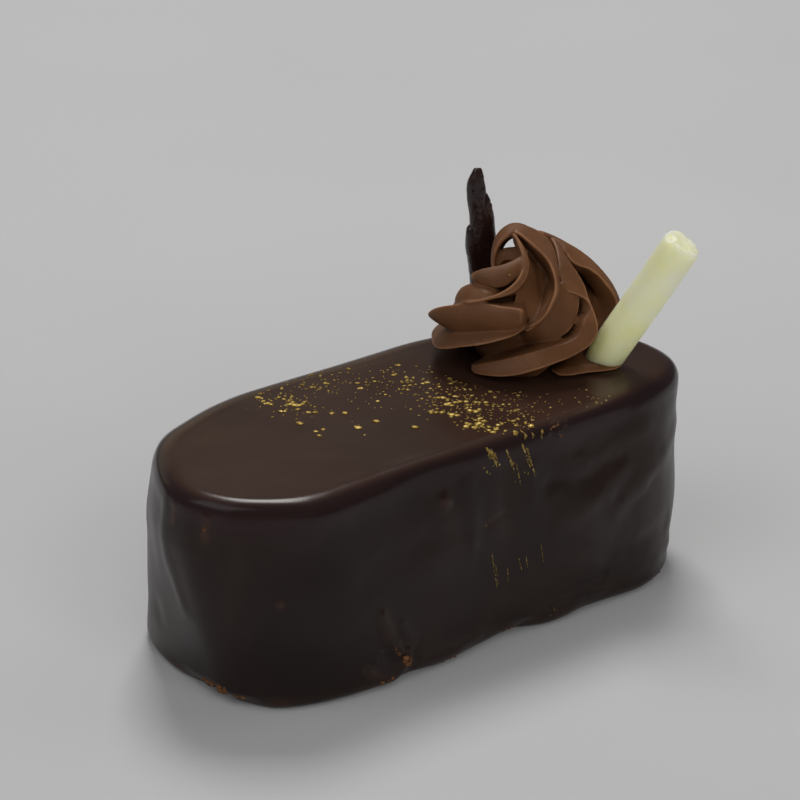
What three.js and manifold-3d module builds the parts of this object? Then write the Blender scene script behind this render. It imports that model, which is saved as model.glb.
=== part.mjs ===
// Mini chocolate truffle cake: a long, round-ended single cake coated all over in dark glaze,
// with one piped ganache swirl near its right-hand end and two rolled chocolate sticks pushed
// into the swirl: a thin jagged dark one behind it and a plain white one at its front edge.
// Millimetres, +Z up, +X along the cake towards the swirl, -Y is the long side seen from the front.
// The origin is the middle of the cake's footprint, at the height of its flat underside.
import * as THREE from "three";
import { mergeVertices } from "three/addons/utils/BufferGeometryUtils.js";
import Module from "manifold-3d";

const wasm = await Module();
wasm.setup();

// ---- driving dimensions ----------------------------------------------------------------
const CAKE_LENGTH = 120.6;
const CAKE_WIDTH = 54.6;
const CAKE_HEIGHT = 42;
const TOP_ROUND = 3.0; // radius of the glaze over the top edge
const FOOT_ROUND = 2.2; // radius of the glaze where it turns under
const BLEND_HEIGHT = 36; // the foot's outline has turned into the top's at this height

// The outline in plan, at the top edge and at the foot: the extreme of each side, where the
// foremost points of the two ends lie, and for each corner how far along the cake its curve
// runs and the power of its superellipse (2 is an ellipse, more is squarer).
const TOP_EDGE = {
  right: 60.2, left: -60.3, front: -26.2, back: 26.6, rightNose: -6.0, leftNose: -6.6,
  rightFront: [40, 2.4], leftFront: [23.4, 1.9], leftBack: [41, 1.95], rightBack: [44, 1.95],
};
const FOOT_EDGE = {
  right: 58.8, left: -55.5, front: -27.3, back: 27.2, rightNose: 0.3, leftNose: -10.3,
  rightFront: [26, 2.25], leftFront: [33, 2.4], leftBack: [32, 2.95], rightBack: [30, 2.2],
};
// Where the wall stands out of that outline or back from it: [x, y, reach, out at the top, out at the foot].
const WALL_BUMPS = [
  [-49, 16, 9, 1.3, 0.3],
  [54, 10, 8, 1.2, 0.4],
  [24, 27, 16, 0.5, 0],
  [1, -26, 9, 0, -1.9],
  [31, -26, 6, 0, -0.8],
];

const SWIRL_X = 34.6;
const SWIRL_Y = 6.0;
const SWIRL_RADIUS = 18.8;
const SWIRL_HEIGHT = 27.0;
const SWIRL_RIDGES = 7; // points of the piping nozzle
const SWIRL_TURN = 3.7; // radians that a ridge winds from foot to tip, most of them low down
const SWIRL_START = 2.5; // direction in which the lowest ridge begins
const FLUTE_DEPTH = 0.27; // part of the radius that the hollows between the ridges take
const TIP_LEAN = [-2.7, 2.0]; // the tip is drawn off to the left and back
const SKIRT = { x: 40.6, y: -7.9, long: 6.6, wide: 5.7, high: 2.2 }; // cream under the white stick

const WHITE_RADIUS = 3.7;
const WHITE_FOOT = [42.4, -8.4, 42.3]; // middle of the lower end
const WHITE_TIP = [50.4, -21.7, 70.0];

const DARK_FOOT = [33.6, 17.3, 45.0];
const DARK_TIP = [30.9, 18.2, 77.9];

const CLEARANCE = 0.3; // gap between pieces that touch

// ---- small helpers ---------------------------------------------------------------------
const TAU = Math.PI * 2;
const mix = (a, b, t) => a + (b - a) * t;
const clamp01 = (t) => Math.min(1, Math.max(0, t));
const smooth = (t) => {
  const c = clamp01(t);
  return c * c * (3 - 2 * c);
};

// A closed solid from rings of equal length, lowest first, each end closed by a fan.
function loft(rings) {
  const n = rings[0].length;
  const position = rings.flat(2);
  const index = [];
  for (let k = 0; k + 1 < rings.length; k++)
    for (let i = 0; i < n; i++) {
      const j = (i + 1) % n;
      const a = k * n + i, b = k * n + j, c = (k + 1) * n + j, d = (k + 1) * n + i;
      index.push(a, b, c, a, c, d);
    }
  const middle = (ring) =>
    ring.reduce((s, p) => s.map((v, q) => v + p[q] / ring.length), [0, 0, 0]);
  const low = position.length / 3;
  position.push(...middle(rings[0]));
  const high = position.length / 3;
  position.push(...middle(rings[rings.length - 1]));
  const last = (rings.length - 1) * n;
  for (let i = 0; i < n; i++) {
    const j = (i + 1) % n;
    index.push(low, j, i, high, last + i, last + j);
  }
  return new THREE.BufferGeometry()
    .setAttribute("position", new THREE.Float32BufferAttribute(position, 3))
    .setIndex(index);
}

// A closed geometry to a solid and back, for the cuts.
function solid(geometry) {
  const bare = geometry.index ? geometry.toNonIndexed() : geometry.clone();
  for (const name of Object.keys(bare.attributes))
    if (name !== "position") bare.deleteAttribute(name);
  const merged = mergeVertices(bare, 1e-4);
  return new wasm.Manifold(
    new wasm.Mesh({
      numProp: 3,
      vertProperties: new Float32Array(merged.attributes.position.array),
      triVerts: new Uint32Array(merged.index.array),
    }),
  );
}
function geometryOf(made) {
  const mesh = made.getMesh();
  return new THREE.BufferGeometry()
    .setAttribute("position", new THREE.Float32BufferAttribute(Array.from(mesh.vertProperties), 3))
    .setIndex(Array.from(mesh.triVerts));
}

// ---- the glazed cake -------------------------------------------------------------------
// One outline in plan, anticlockwise from the right end, as dense points: a quarter
// superellipse to each corner, joined by the long sides.
function outline(e) {
  const quarter = (tip, run, rise, power, t) => [
    tip[0] - run * (1 - Math.pow(Math.cos(t), 2 / power)),
    tip[1] + rise * Math.pow(Math.sin(t), 2 / power),
  ];
  const right = [e.right, e.rightNose], left = [e.left, e.leftNose];
  const corners = [
    { tip: right, run: e.rightBack[0], rise: e.back - e.rightNose, power: e.rightBack[1] },
    { tip: left, run: -e.leftBack[0], rise: e.back - e.leftNose, power: e.leftBack[1] },
    { tip: left, run: -e.leftFront[0], rise: e.front - e.leftNose, power: e.leftFront[1] },
    { tip: right, run: e.rightFront[0], rise: e.front - e.rightNose, power: e.rightFront[1] },
  ];
  const points = [];
  corners.forEach(({ tip, run, rise, power }, k) => {
    for (let i = 0; i <= 60; i++) {
      const t = ((k % 2 === 0 ? i : 60 - i) / 60) * (Math.PI / 2);
      points.push(quarter(tip, run, rise, power, Math.min(t, Math.PI / 2)));
    }
  });
  return points;
}

// Both outlines sampled at the same count of places, evenly along the top one.
function sampledOutlines(count) {
  const top = outline(TOP_EDGE), foot = outline(FOOT_EDGE);
  const along = [0];
  for (let i = 1; i <= top.length; i++) {
    const a = top[i - 1], b = top[i % top.length];
    along.push(along[i - 1] + Math.hypot(b[0] - a[0], b[1] - a[1]));
  }
  const total = along[top.length];
  const out = [];
  let k = 0;
  for (let i = 0; i < count; i++) {
    const want = (total * i) / count;
    while (along[k + 1] < want) k++;
    const t = (want - along[k]) / (along[k + 1] - along[k] || 1);
    const at = (list) => [0, 1].map((q) => mix(list[k][q], list[(k + 1) % list.length][q], t));
    out.push({ top: at(top), foot: at(foot) });
  }
  return out;
}

// How far the wall stands in at a height, from the rounds at its top and foot.
function inset(z) {
  const over = Math.max(0, z - (CAKE_HEIGHT - TOP_ROUND)), under = Math.max(0, FOOT_ROUND - z);
  return (
    TOP_ROUND - Math.sqrt(Math.max(0, TOP_ROUND ** 2 - over ** 2)) +
    1.15 * (FOOT_ROUND - Math.sqrt(Math.max(0, FOOT_ROUND ** 2 - under ** 2)))
  );
}

// The hand-poured glaze isn't flat: shallow swells, stronger on the right half of the walls.
function swell(x, y, z) {
  const right = 0.3 + 0.7 * smooth((x + 10) / 50);
  const wall = smooth(z / 8) * smooth((CAKE_HEIGHT - z) / 8);
  let d =
    wall * right *
    (0.4 * Math.sin(x * 0.21 + z * 0.16 + 0.6) +
      0.25 * Math.sin(x * 0.11 - z * 0.23 + y * 0.19 + 2.1));
  const up = smooth(z / BLEND_HEIGHT);
  for (const [bx, by, reach, atTop, atFoot] of WALL_BUMPS)
    d += mix(atFoot, atTop, up) * Math.exp(-((x - bx) ** 2 + (y - by) ** 2) / reach ** 2);
  return d;
}

function cakeGeometry() {
  const places = sampledOutlines(92);
  const n = places.length;
  const heights = [0, 0.35, 1.0, FOOT_ROUND, 6, 12, 18, 24, 30, 35, CAKE_HEIGHT - TOP_ROUND];
  for (let i = 1; i <= 4; i++)
    heights.push(CAKE_HEIGHT - TOP_ROUND + TOP_ROUND * Math.sin((i / 4) * (Math.PI / 2)));
  const rings = heights.map((z) => {
    const up = smooth(z / BLEND_HEIGHT);
    const flat = places.map((p) => [0, 1].map((q) => mix(p.foot[q], p.top[q], up)));
    return flat.map(([x, y], i) => {
      const a = flat[(i + n - 1) % n], b = flat[(i + 1) % n];
      const l = Math.hypot(b[1] - a[1], a[0] - b[0]);
      const d = swell(x, y, z) - inset(z);
      return [x + ((b[1] - a[1]) / l) * d, y + ((a[0] - b[0]) / l) * d, z];
    });
  });
  // Brought to its exact length and width, and centred.
  const all = rings.flat();
  const low = [0, 1].map((q) => Math.min(...all.map((p) => p[q])));
  const high = [0, 1].map((q) => Math.max(...all.map((p) => p[q])));
  const size = [CAKE_LENGTH, CAKE_WIDTH];
  for (const p of all)
    for (const q of [0, 1])
      p[q] = ((p[q] - (low[q] + high[q]) / 2) * size[q]) / (high[q] - low[q]);
  return loft(rings);
}

// ---- the piped swirl -------------------------------------------------------------------
// Piped with a star nozzle: sharp ridges with hollow flutes between them wind up from the foot,
// nearly level at first and steeper towards the tip. Each ring's points turn with the ridges,
// so that an edge runs along every ridge. Its lips hang over the flutes below them.
function swirlGeometry() {
  const steps = 10; // points from one ridge to the next
  const around = SWIRL_RIDGES * steps;
  const levels = 22;
  const rings = [];
  for (let k = 0; k <= levels; k++) {
    const h = Math.pow(k / levels, 1.35);
    const dome = Math.pow(Math.max(0, 1 - Math.pow(h, 1.9)), 0.66);
    const foot = mix(0.86, 1, smooth(h / 0.16));
    const turn = SWIRL_START + SWIRL_TURN * Math.pow(h, 0.55);
    const lip = 1.5 * smooth(h / 0.15) * (1 - smooth((h - 0.6) / 0.4));
    const ring = [];
    for (let i = 0; i < around; i++) {
      const flute = Math.pow(Math.sin(((i % steps) / steps) * Math.PI), 0.8); // 0 on a ridge
      const ridge = Math.floor(i / steps);
      const uneven = 1 + 0.045 * Math.sin(ridge * 2.4 + 0.7);
      const r = Math.max(0.45, SWIRL_RADIUS * dome * foot * uneven * (1 - FLUTE_DEPTH * flute));
      const a = (i / around) * TAU + turn;
      ring.push([
        SWIRL_X + TIP_LEAN[0] * h * h + r * Math.cos(a),
        SWIRL_Y + TIP_LEAN[1] * h * h + r * Math.sin(a),
        CAKE_HEIGHT + CLEARANCE + SWIRL_HEIGHT * h - (k > 0 ? lip * (1 - flute) : 0),
      ]);
    }
    rings.push(ring);
  }
  return loft(rings);
}

// ---- the sticks ------------------------------------------------------------------------
// A straight roll of chocolate between two points, grown all round by spare.
function rollGeometry(from, to, radiusAt, spare, around = 24, steps = 12) {
  const a = new THREE.Vector3(...from), b = new THREE.Vector3(...to);
  const axis = b.clone().sub(a), length = axis.length();
  axis.normalize();
  const side = new THREE.Vector3(0, 0, 1).cross(axis).normalize();
  const up = axis.clone().cross(side);
  const rings = [];
  for (let k = 0; k <= steps; k++) {
    const s = mix(-spare, length + spare, k / steps);
    const ring = [];
    for (let i = 0; i < around; i++) {
      const t = (i / around) * TAU;
      const r = radiusAt(clamp01(s / length), t) + spare;
      const p = a.clone().addScaledVector(axis, s)
        .addScaledVector(side, r * Math.cos(t)).addScaledVector(up, r * Math.sin(t));
      ring.push(p.toArray());
    }
    rings.push(ring);
  }
  return loft(rings);
}

// The white roll: even, with softly rounded ends and a trace of the lap of its outer leaf.
function whiteRadius(s, t) {
  const end = Math.min(s, 1 - s) * 29;
  const round = end < 1.3 ? 1.3 - Math.sqrt(Math.max(0, 1.69 - (1.3 - end) ** 2)) : 0;
  return WHITE_RADIUS - 0.75 * round + 0.06 * Math.sin(t * 3 + s * 2);
}

// The dark roll: a core and three outer leaves that stop short of the tip at different heights.
const DARK_LEAVES = [
  { from: 0.0, to: 1.0, radius: 2.05, taper: 1.35, off: [0.25, 0.1] }, // core
  { from: 0.0, to: 0.86, radius: 2.5, taper: 2.0, off: [-0.75, 0.2] },
  { from: 0.0, to: 0.72, radius: 2.45, taper: 2.05, off: [0.85, -0.2] },
  { from: 0.0, to: 0.44, radius: 2.6, taper: 2.4, off: [-0.6, -0.5] },
];
function darkSolid(spare) {
  const foot = new THREE.Vector3(...DARK_FOOT), tip = new THREE.Vector3(...DARK_TIP);
  const right = new THREE.Vector3(0.775, -0.632, 0), away = new THREE.Vector3(0.632, 0.775, 0);
  let made = null;
  for (const leaf of DARK_LEAVES) {
    const shift = right.clone().multiplyScalar(leaf.off[0]).addScaledVector(away, leaf.off[1]);
    const a = foot.clone().lerp(tip, leaf.from).add(shift);
    const b = foot.clone().lerp(tip, leaf.to).add(shift.multiplyScalar(leaf.to));
    const one = solid(
      rollGeometry(a.toArray(), b.toArray(), (s) => mix(leaf.radius, leaf.taper, s), spare, 14, 6),
    );
    made = made ? made.add(one) : one;
  }
  return made;
}

// ---- the object ------------------------------------------------------------------------
const GLAZE = new THREE.MeshStandardMaterial({ color: 0x241916, roughness: 0.22, metalness: 0 });
const GANACHE = new THREE.MeshStandardMaterial({ color: 0x6b4531, roughness: 0.5, metalness: 0 });
const DARK = new THREE.MeshStandardMaterial({ color: 0x2a1a1a, roughness: 0.25, metalness: 0 });
const WHITE = new THREE.MeshStandardMaterial({ color: 0xdedfb4, roughness: 0.5, metalness: 0 });

const whiteRoll = (spare) => rollGeometry(WHITE_FOOT, WHITE_TIP, whiteRadius, spare);
const aboveTop = solid(
  new THREE.BoxGeometry(90, 90, 80).translate(SWIRL_X, SWIRL_Y, CAKE_HEIGHT + CLEARANCE + 40),
);
const skirt = solid(
  new THREE.SphereGeometry(1, 28, 16).scale(SKIRT.long, SKIRT.wide, SKIRT.high)
    .translate(SKIRT.x, SKIRT.y, CAKE_HEIGHT + CLEARANCE),
);

// The swirl with its skirt, cut round both sticks; slivers that a cut leaves behind are dropped.
const swirl = solid(swirlGeometry())
  .add(skirt)
  .intersect(aboveTop)
  .subtract(solid(whiteRoll(CLEARANCE)))
  .subtract(darkSolid(CLEARANCE))
  .decompose()
  .reduce((most, one) => (one.volume() > most.volume() ? one : most));

function piece(name, geometry, material) {
  const mesh = new THREE.Mesh(geometry, material);
  mesh.name = name;
  return mesh;
}

const cake = new THREE.Group();
cake.name = "mini_truffle_cake";
cake.add(
  piece("glazed_cake", cakeGeometry(), GLAZE),
  piece("piped_swirl", geometryOf(swirl), GANACHE),
  piece("white_stick", geometryOf(solid(whiteRoll(0)).intersect(aboveTop)), WHITE),
  piece("dark_stick", geometryOf(darkSolid(0)), DARK),
);

export default cake;
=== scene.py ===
import bpy, math
import numpy as np
from mathutils import Matrix, Vector


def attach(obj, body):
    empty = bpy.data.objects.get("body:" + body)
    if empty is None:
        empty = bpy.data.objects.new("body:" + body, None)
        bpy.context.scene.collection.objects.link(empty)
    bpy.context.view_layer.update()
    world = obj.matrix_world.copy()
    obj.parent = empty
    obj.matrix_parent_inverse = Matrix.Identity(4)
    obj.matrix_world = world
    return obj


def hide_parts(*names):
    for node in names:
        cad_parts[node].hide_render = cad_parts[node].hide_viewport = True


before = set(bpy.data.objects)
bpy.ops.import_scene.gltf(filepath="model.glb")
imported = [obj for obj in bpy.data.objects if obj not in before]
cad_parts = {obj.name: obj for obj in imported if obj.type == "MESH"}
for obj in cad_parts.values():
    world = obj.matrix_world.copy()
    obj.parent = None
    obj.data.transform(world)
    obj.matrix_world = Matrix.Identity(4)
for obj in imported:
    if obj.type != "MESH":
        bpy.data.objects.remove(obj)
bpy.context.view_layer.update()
MM = 0.001

# ======================================================================== small helpers

def mix(a, b, t):
    return a + (b - a) * t


def smooth(t):
    t = np.clip(t, 0.0, 1.0)
    return t * t * (3 - 2 * t)


def mesh_object(name, verts_mm, faces, material, shade_smooth=True):
    mesh = bpy.data.meshes.new(name)
    mesh.from_pydata([tuple(v) for v in np.asarray(verts_mm, float) * MM], [], [tuple(map(int, f)) for f in faces])
    mesh.validate(clean_customdata=False)
    mesh.materials.append(material)
    if shade_smooth:
        mesh.polygons.foreach_set("use_smooth", [True] * len(mesh.polygons))
    mesh.update()
    obj = bpy.data.objects.new(name, mesh)
    bpy.context.scene.collection.objects.link(obj)
    return obj


def ring_faces(levels, n, offset=0, close_low=False, close_high=False):
    """Quads between successive closed rings of n points, lowest ring first, facing out."""
    faces = []
    for k in range(levels - 1):
        a, b = offset + k * n, offset + (k + 1) * n
        for i in range(n):
            j = (i + 1) % n
            faces.append((a + i, a + j, b + j, b + i))
    if close_low:
        faces.append(tuple(offset + i for i in range(n))[::-1])
    if close_high:
        faces.append(tuple(offset + (levels - 1) * n + i for i in range(n)))
    return faces


def value_noise(p, scale, seed):
    """Smooth noise in -1..1 at points p (n, 3), by trilinear blending of a seeded lattice."""
    q = np.asarray(p, float) / scale + 1000.0
    i = np.floor(q).astype(np.int64)
    f = q - i
    f = f * f * (3 - 2 * f)

    def lattice(x, y, z):
        h = (x * 73856093) ^ (y * 19349663) ^ (z * 83492791) ^ (seed * 2654435761)
        h = (h ^ (h >> 13)) * 1274126177
        h = h & 0x7FFFFFFF
        return ((h >> 7) % 65536) / 32767.5 - 1.0

    out = 0
    for dx in (0, 1):
        for dy in (0, 1):
            for dz in (0, 1):
                w = (f[:, 0] if dx else 1 - f[:, 0]) * (f[:, 1] if dy else 1 - f[:, 1]) * (f[:, 2] if dz else 1 - f[:, 2])
                out = out + w * lattice(i[:, 0] + dx, i[:, 1] + dy, i[:, 2] + dz)
    return out


def spline(points, count):
    """Centripetal Catmull-Rom through points, sampled evenly along its length."""
    P = np.asarray(points, float)
    P = np.vstack([2 * P[0] - P[1], P, 2 * P[-1] - P[-2]])
    dense = []
    for k in range(1, len(P) - 2):
        p0, p1, p2, p3 = P[k - 1:k + 3]
        t0 = 0.0
        t1 = t0 + max(1e-6, np.linalg.norm(p1[:3] - p0[:3]) ** 0.5)
        t2 = t1 + max(1e-6, np.linalg.norm(p2[:3] - p1[:3]) ** 0.5)
        t3 = t2 + max(1e-6, np.linalg.norm(p3[:3] - p2[:3]) ** 0.5)
        for t in np.linspace(t1, t2, 24, endpoint=False):
            a1 = (t1 - t) / (t1 - t0) * p0 + (t - t0) / (t1 - t0) * p1
            a2 = (t2 - t) / (t2 - t1) * p1 + (t - t1) / (t2 - t1) * p2
            a3 = (t3 - t) / (t3 - t2) * p2 + (t - t2) / (t3 - t2) * p3
            b1 = (t2 - t) / (t2 - t0) * a1 + (t - t0) / (t2 - t0) * a2
            b2 = (t3 - t) / (t3 - t1) * a2 + (t - t1) / (t3 - t1) * a3
            dense.append((t2 - t) / (t2 - t1) * b1 + (t - t1) / (t2 - t1) * b2)
    dense.append(P[-2])
    dense = np.array(dense)
    s = np.r_[0, np.cumsum(np.linalg.norm(np.diff(dense[:, :3], axis=0), axis=1))]
    want = np.linspace(0, s[-1], count)
    return np.column_stack([np.interp(want, s, dense[:, c]) for c in range(dense.shape[1])])


# ======================================================================== materials

def material(name, color, roughness, **sockets):
    """A Principled material; color and roughness are node sockets filled by the caller's nodes."""
    m = bpy.data.materials.new(name)
    m.use_nodes = True
    nt = m.node_tree
    bsdf = nt.nodes["Principled BSDF"]
    bsdf.inputs["Base Color"].default_value = (*color, 1)
    bsdf.inputs["Roughness"].default_value = roughness
    for k, v in sockets.items():
        bsdf.inputs[k.replace("_", " ")].default_value = v
    coords = nt.nodes.new("ShaderNodeTexCoord")
    return m, nt, bsdf, coords.outputs["Object"]


def noise_node(nt, coords, scale, detail=3.0, rough=0.5, distortion=0.0, stretch=None):
    if stretch is not None:
        mp = nt.nodes.new("ShaderNodeMapping")
        mp.inputs["Scale"].default_value = stretch
        nt.links.new(coords, mp.inputs["Vector"])
        coords = mp.outputs["Vector"]
    n = nt.nodes.new("ShaderNodeTexNoise")
    n.inputs["Scale"].default_value = scale
    n.inputs["Detail"].default_value = detail
    n.inputs["Roughness"].default_value = rough
    n.inputs["Distortion"].default_value = distortion
    nt.links.new(coords, n.inputs["Vector"])
    return n.outputs["Fac"]


def ramp(nt, fac, stops):
    r = nt.nodes.new("ShaderNodeValToRGB")
    while len(r.color_ramp.elements) < len(stops):
        r.color_ramp.elements.new(0.5)
    for e, (pos, col) in zip(r.color_ramp.elements, stops):
        e.position = pos
        e.color = (*col, 1) if len(col) == 3 else col
    nt.links.new(fac, r.inputs["Fac"])
    return r.outputs["Color"]


def grey(v):
    return (v, v, v)


def blend(nt, fac, low, high):
    n = nt.nodes.new("ShaderNodeMix")
    n.data_type = "RGBA"
    nt.links.new(fac, n.inputs[0])
    nt.links.new(low, n.inputs[6])
    nt.links.new(high, n.inputs[7])
    return n.outputs[2]


def bump(nt, bsdf, height, strength, distance, chain=None):
    b = nt.nodes.new("ShaderNodeBump")
    b.inputs["Strength"].default_value = strength
    b.inputs["Distance"].default_value = distance
    nt.links.new(height, b.inputs["Height"])
    if chain is not None:
        nt.links.new(chain, b.inputs["Normal"])
    nt.links.new(b.outputs["Normal"], bsdf.inputs["Normal"])
    return b.outputs["Normal"]


def glaze_material():
    m, nt, bsdf, oc = material("glaze", (0.036, 0.017, 0.011), 0.2, IOR=1.46, Specular_IOR_Level=0.28)
    # painted shade: the walls are coloured darker than the top, standing in for the shade and dark reflections on the
    # walls
    tone = noise_node(nt, oc, 26, 4, 0.55, 0.6)
    high = ramp(nt, tone, [(0.32, (0.0360, 0.0170, 0.0112)), (0.55, (0.0430, 0.0206, 0.0140)), (0.75, (0.0500, 0.0250, 0.0176))])
    low = ramp(nt, noise_node(nt, oc, 34, 4, 0.55, 0.8, (1, 1, 0.55)), [(0.30, (0.0112, 0.0062, 0.0049)), (0.52, (0.0168, 0.0092, 0.0072)), (0.76, (0.0255, 0.0136, 0.0104))])
    sep = nt.nodes.new("ShaderNodeSeparateXYZ")
    nt.links.new(oc, sep.inputs["Vector"])
    level = nt.nodes.new("ShaderNodeMapRange")
    level.interpolation_type = "SMOOTHSTEP"
    for k, v in (("From Min", 0.0410), ("From Max", 0.04178)):
        level.inputs[k].default_value = v
    nt.links.new(sep.outputs["Z"], level.inputs["Value"])
    turn = nt.nodes.new("ShaderNodeMapRange")
    turn.interpolation_type = "SMOOTHSTEP"
    for k, v in (("From Min", 0.0355), ("From Max", 0.0395)):
        turn.inputs[k].default_value = v
    nt.links.new(sep.outputs["Z"], turn.inputs["Value"])
    # painted dark reflection: below the rim the wall takes the purple-dark edge colour, in a band that reaches further
    # down at the left front
    run = nt.nodes.new("ShaderNodeAttribute")
    run.attribute_name = "run"
    edge = ramp(nt, tone, [(0.32, (0.0180, 0.0088, 0.0088)), (0.55, (0.0235, 0.0112, 0.0116)), (0.75, (0.0300, 0.0150, 0.0148))])
    coat = blend(nt, level.outputs["Result"], blend(nt, run.outputs["Fac"], low, edge), high)
    # where the coat has run thin, on bumps and along the edges, the cake's reddish brown shows
    thin = nt.nodes.new("ShaderNodeAttribute")
    thin.attribute_name = "thin"
    reddish = ramp(nt, noise_node(nt, oc, 420, 3, 0.6), [(0.3, (0.050, 0.0180, 0.0100)), (0.7, (0.120, 0.054, 0.0270))])
    nt.links.new(blend(nt, thin.outputs["Fac"], coat, reddish), bsdf.inputs["Base Color"])
    sheen = noise_node(nt, oc, 42, 3, 0.5)
    rough_wall = ramp(nt, sheen, [(0.3, grey(0.24)), (0.7, grey(0.38))])
    rough_top = ramp(nt, sheen, [(0.3, grey(0.19)), (0.7, grey(0.27))])
    nt.links.new(blend(nt, turn.outputs["Result"], rough_wall, rough_top), bsdf.inputs["Roughness"])
    first = bump(nt, bsdf, noise_node(nt, oc, 130, 2, 0.5), 0.12, 0.0004)
    bump(nt, bsdf, noise_node(nt, oc, 2200, 2, 0.6), 0.05, 0.00004, first)
    return m


def ganache_material():
    m, nt, bsdf, oc = material("ganache", (0.16, 0.07, 0.036), 0.5, IOR=1.45, Specular_IOR_Level=0.30)
    bsdf.inputs["Subsurface Weight"].default_value = 0.12
    bsdf.inputs["Subsurface Radius"].default_value = (1.0, 0.45, 0.25)
    bsdf.inputs["Subsurface Scale"].default_value = 0.0012
    tone = noise_node(nt, oc, 95, 4, 0.6, 0.3)
    face_tone = ramp(nt, tone, [(0.3, (0.112, 0.0465, 0.0186)), (0.52, (0.146, 0.0615, 0.0250)), (0.74, (0.180, 0.079, 0.0345))])
    painted_crest_highlight = ramp(nt, tone, [(0.3, (0.235, 0.104, 0.0450)), (0.74, (0.320, 0.152, 0.0730))])
    # painted highlight: the sharp edges drawn out by the nozzle are coloured lighter than the faces between them
    crest_highlight = nt.nodes.new("ShaderNodeAttribute")
    crest_highlight.attribute_name = "crest_highlight"
    open_tone = blend(nt, crest_highlight.outputs["Fac"], face_tone, painted_crest_highlight)
    painted_flute_shade = ramp(nt, tone, [(0.3, (0.026, 0.0095, 0.0040)), (0.74, (0.040, 0.0150, 0.0062))])
    # painted shade: the tone darkens where the surface is deeply enclosed, so the flutes read nearly black
    painted_groove_shade = nt.nodes.new("ShaderNodeAttribute")
    painted_groove_shade.attribute_name = "painted_groove_shade"
    nt.links.new(blend(nt, painted_groove_shade.outputs["Fac"], open_tone, painted_flute_shade), bsdf.inputs["Base Color"])
    sheen = noise_node(nt, oc, 160, 3, 0.5)
    nt.links.new(ramp(nt, sheen, [(0.3, grey(0.42)), (0.7, grey(0.58))]), bsdf.inputs["Roughness"])
    first = bump(nt, bsdf, noise_node(nt, oc, 420, 3, 0.55), 0.26, 0.0003)
    bump(nt, bsdf, noise_node(nt, oc, 2600, 2, 0.6), 0.12, 0.00006, first)
    return m


def white_material():
    m, nt, bsdf, oc = material("white_chocolate", (0.70, 0.70, 0.42), 0.4, IOR=1.45, Specular_IOR_Level=0.4)
    bsdf.inputs["Subsurface Weight"].default_value = 1.0
    bsdf.inputs["Subsurface Radius"].default_value = (1.0, 0.95, 0.6)
    bsdf.inputs["Subsurface Scale"].default_value = 0.0045
    tone = noise_node(nt, oc, 160, 4, 0.6, 0.2)
    # painted light: the lower part of the roll is coloured yellower and a little lighter than the upper, standing in
    # for the warm light reflected onto it near its foot
    upper = ramp(nt, tone, [(0.3, (0.91, 0.905, 0.56)), (0.5, (0.95, 0.945, 0.65)), (0.72, (0.98, 0.975, 0.75))])
    lower = ramp(nt, tone, [(0.3, (0.95, 0.935, 0.40)), (0.5, (0.97, 0.960, 0.47)), (0.72, (0.99, 0.985, 0.55))])
    sep = nt.nodes.new("ShaderNodeSeparateXYZ")
    nt.links.new(oc, sep.inputs["Vector"])
    up = nt.nodes.new("ShaderNodeMapRange")
    up.interpolation_type = "SMOOTHSTEP"
    for k, v in (("From Min", 0.043), ("From Max", 0.062)):
        up.inputs[k].default_value = v
    nt.links.new(sep.outputs["Z"], up.inputs["Value"])
    nt.links.new(blend(nt, up.outputs["Result"], lower, upper), bsdf.inputs["Base Color"])
    nt.links.new(ramp(nt, noise_node(nt, oc, 240, 2, 0.5), [(0.3, grey(0.33)), (0.7, grey(0.52))]), bsdf.inputs["Roughness"])
    first = bump(nt, bsdf, noise_node(nt, oc, 320, 3, 0.6), 0.2, 0.0003)
    bump(nt, bsdf, noise_node(nt, oc, 1500, 2, 0.6), 0.15, 0.00006, first)
    return m


def dark_material():
    m, nt, bsdf, oc = material("dark_chocolate", (0.02, 0.009, 0.008), 0.25, IOR=1.46, Specular_IOR_Level=0.5)
    tone = noise_node(nt, oc, 180, 4, 0.6, 0.4)
    nt.links.new(ramp(nt, tone, [(0.3, (0.013, 0.0054, 0.0048)), (0.55, (0.022, 0.0094, 0.0078)), (0.78, (0.040, 0.0175, 0.013))]), bsdf.inputs["Base Color"])
    nt.links.new(ramp(nt, noise_node(nt, oc, 420, 3, 0.5), [(0.3, grey(0.12)), (0.7, grey(0.32))]), bsdf.inputs["Roughness"])
    first = bump(nt, bsdf, noise_node(nt, oc, 900, 3, 0.6, stretch=(1, 1, 0.6)), 0.35, 0.0003)
    bump(nt, bsdf, noise_node(nt, oc, 2600, 2, 0.6), 0.35, 0.0001, first)
    return m


def gold_material():
    m, nt, bsdf, oc = material("gold_dust", (0.55, 0.40, 0.13), 0.5, Metallic=0.6)
    nt.links.new(ramp(nt, noise_node(nt, oc, 900, 3, 0.6), [(0.3, (0.26, 0.155, 0.026)), (0.5, (0.45, 0.300, 0.064)), (0.72, (0.74, 0.56, 0.19))]), bsdf.inputs["Base Color"])
    nt.links.new(ramp(nt, noise_node(nt, oc, 1600, 2, 0.5), [(0.3, grey(0.38)), (0.7, grey(0.62))]), bsdf.inputs["Roughness"])
    bump(nt, bsdf, noise_node(nt, oc, 4000, 2, 0.6), 0.4, 0.00008)
    return m


def crumb_material():
    m, nt, bsdf, oc = material("cake_crumb", (0.16, 0.065, 0.022), 0.75, Specular_IOR_Level=0.3)
    nt.links.new(ramp(nt, noise_node(nt, oc, 700, 4, 0.65), [(0.3, (0.055, 0.020, 0.009)), (0.52, (0.16, 0.066, 0.024)), (0.74, (0.30, 0.15, 0.062))]), bsdf.inputs["Base Color"])
    nt.links.new(ramp(nt, noise_node(nt, oc, 1200, 2, 0.5), [(0.3, grey(0.6)), (0.7, grey(0.9))]), bsdf.inputs["Roughness"])
    bump(nt, bsdf, noise_node(nt, oc, 2200, 3, 0.7), 0.8, 0.00025)
    return m


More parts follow.
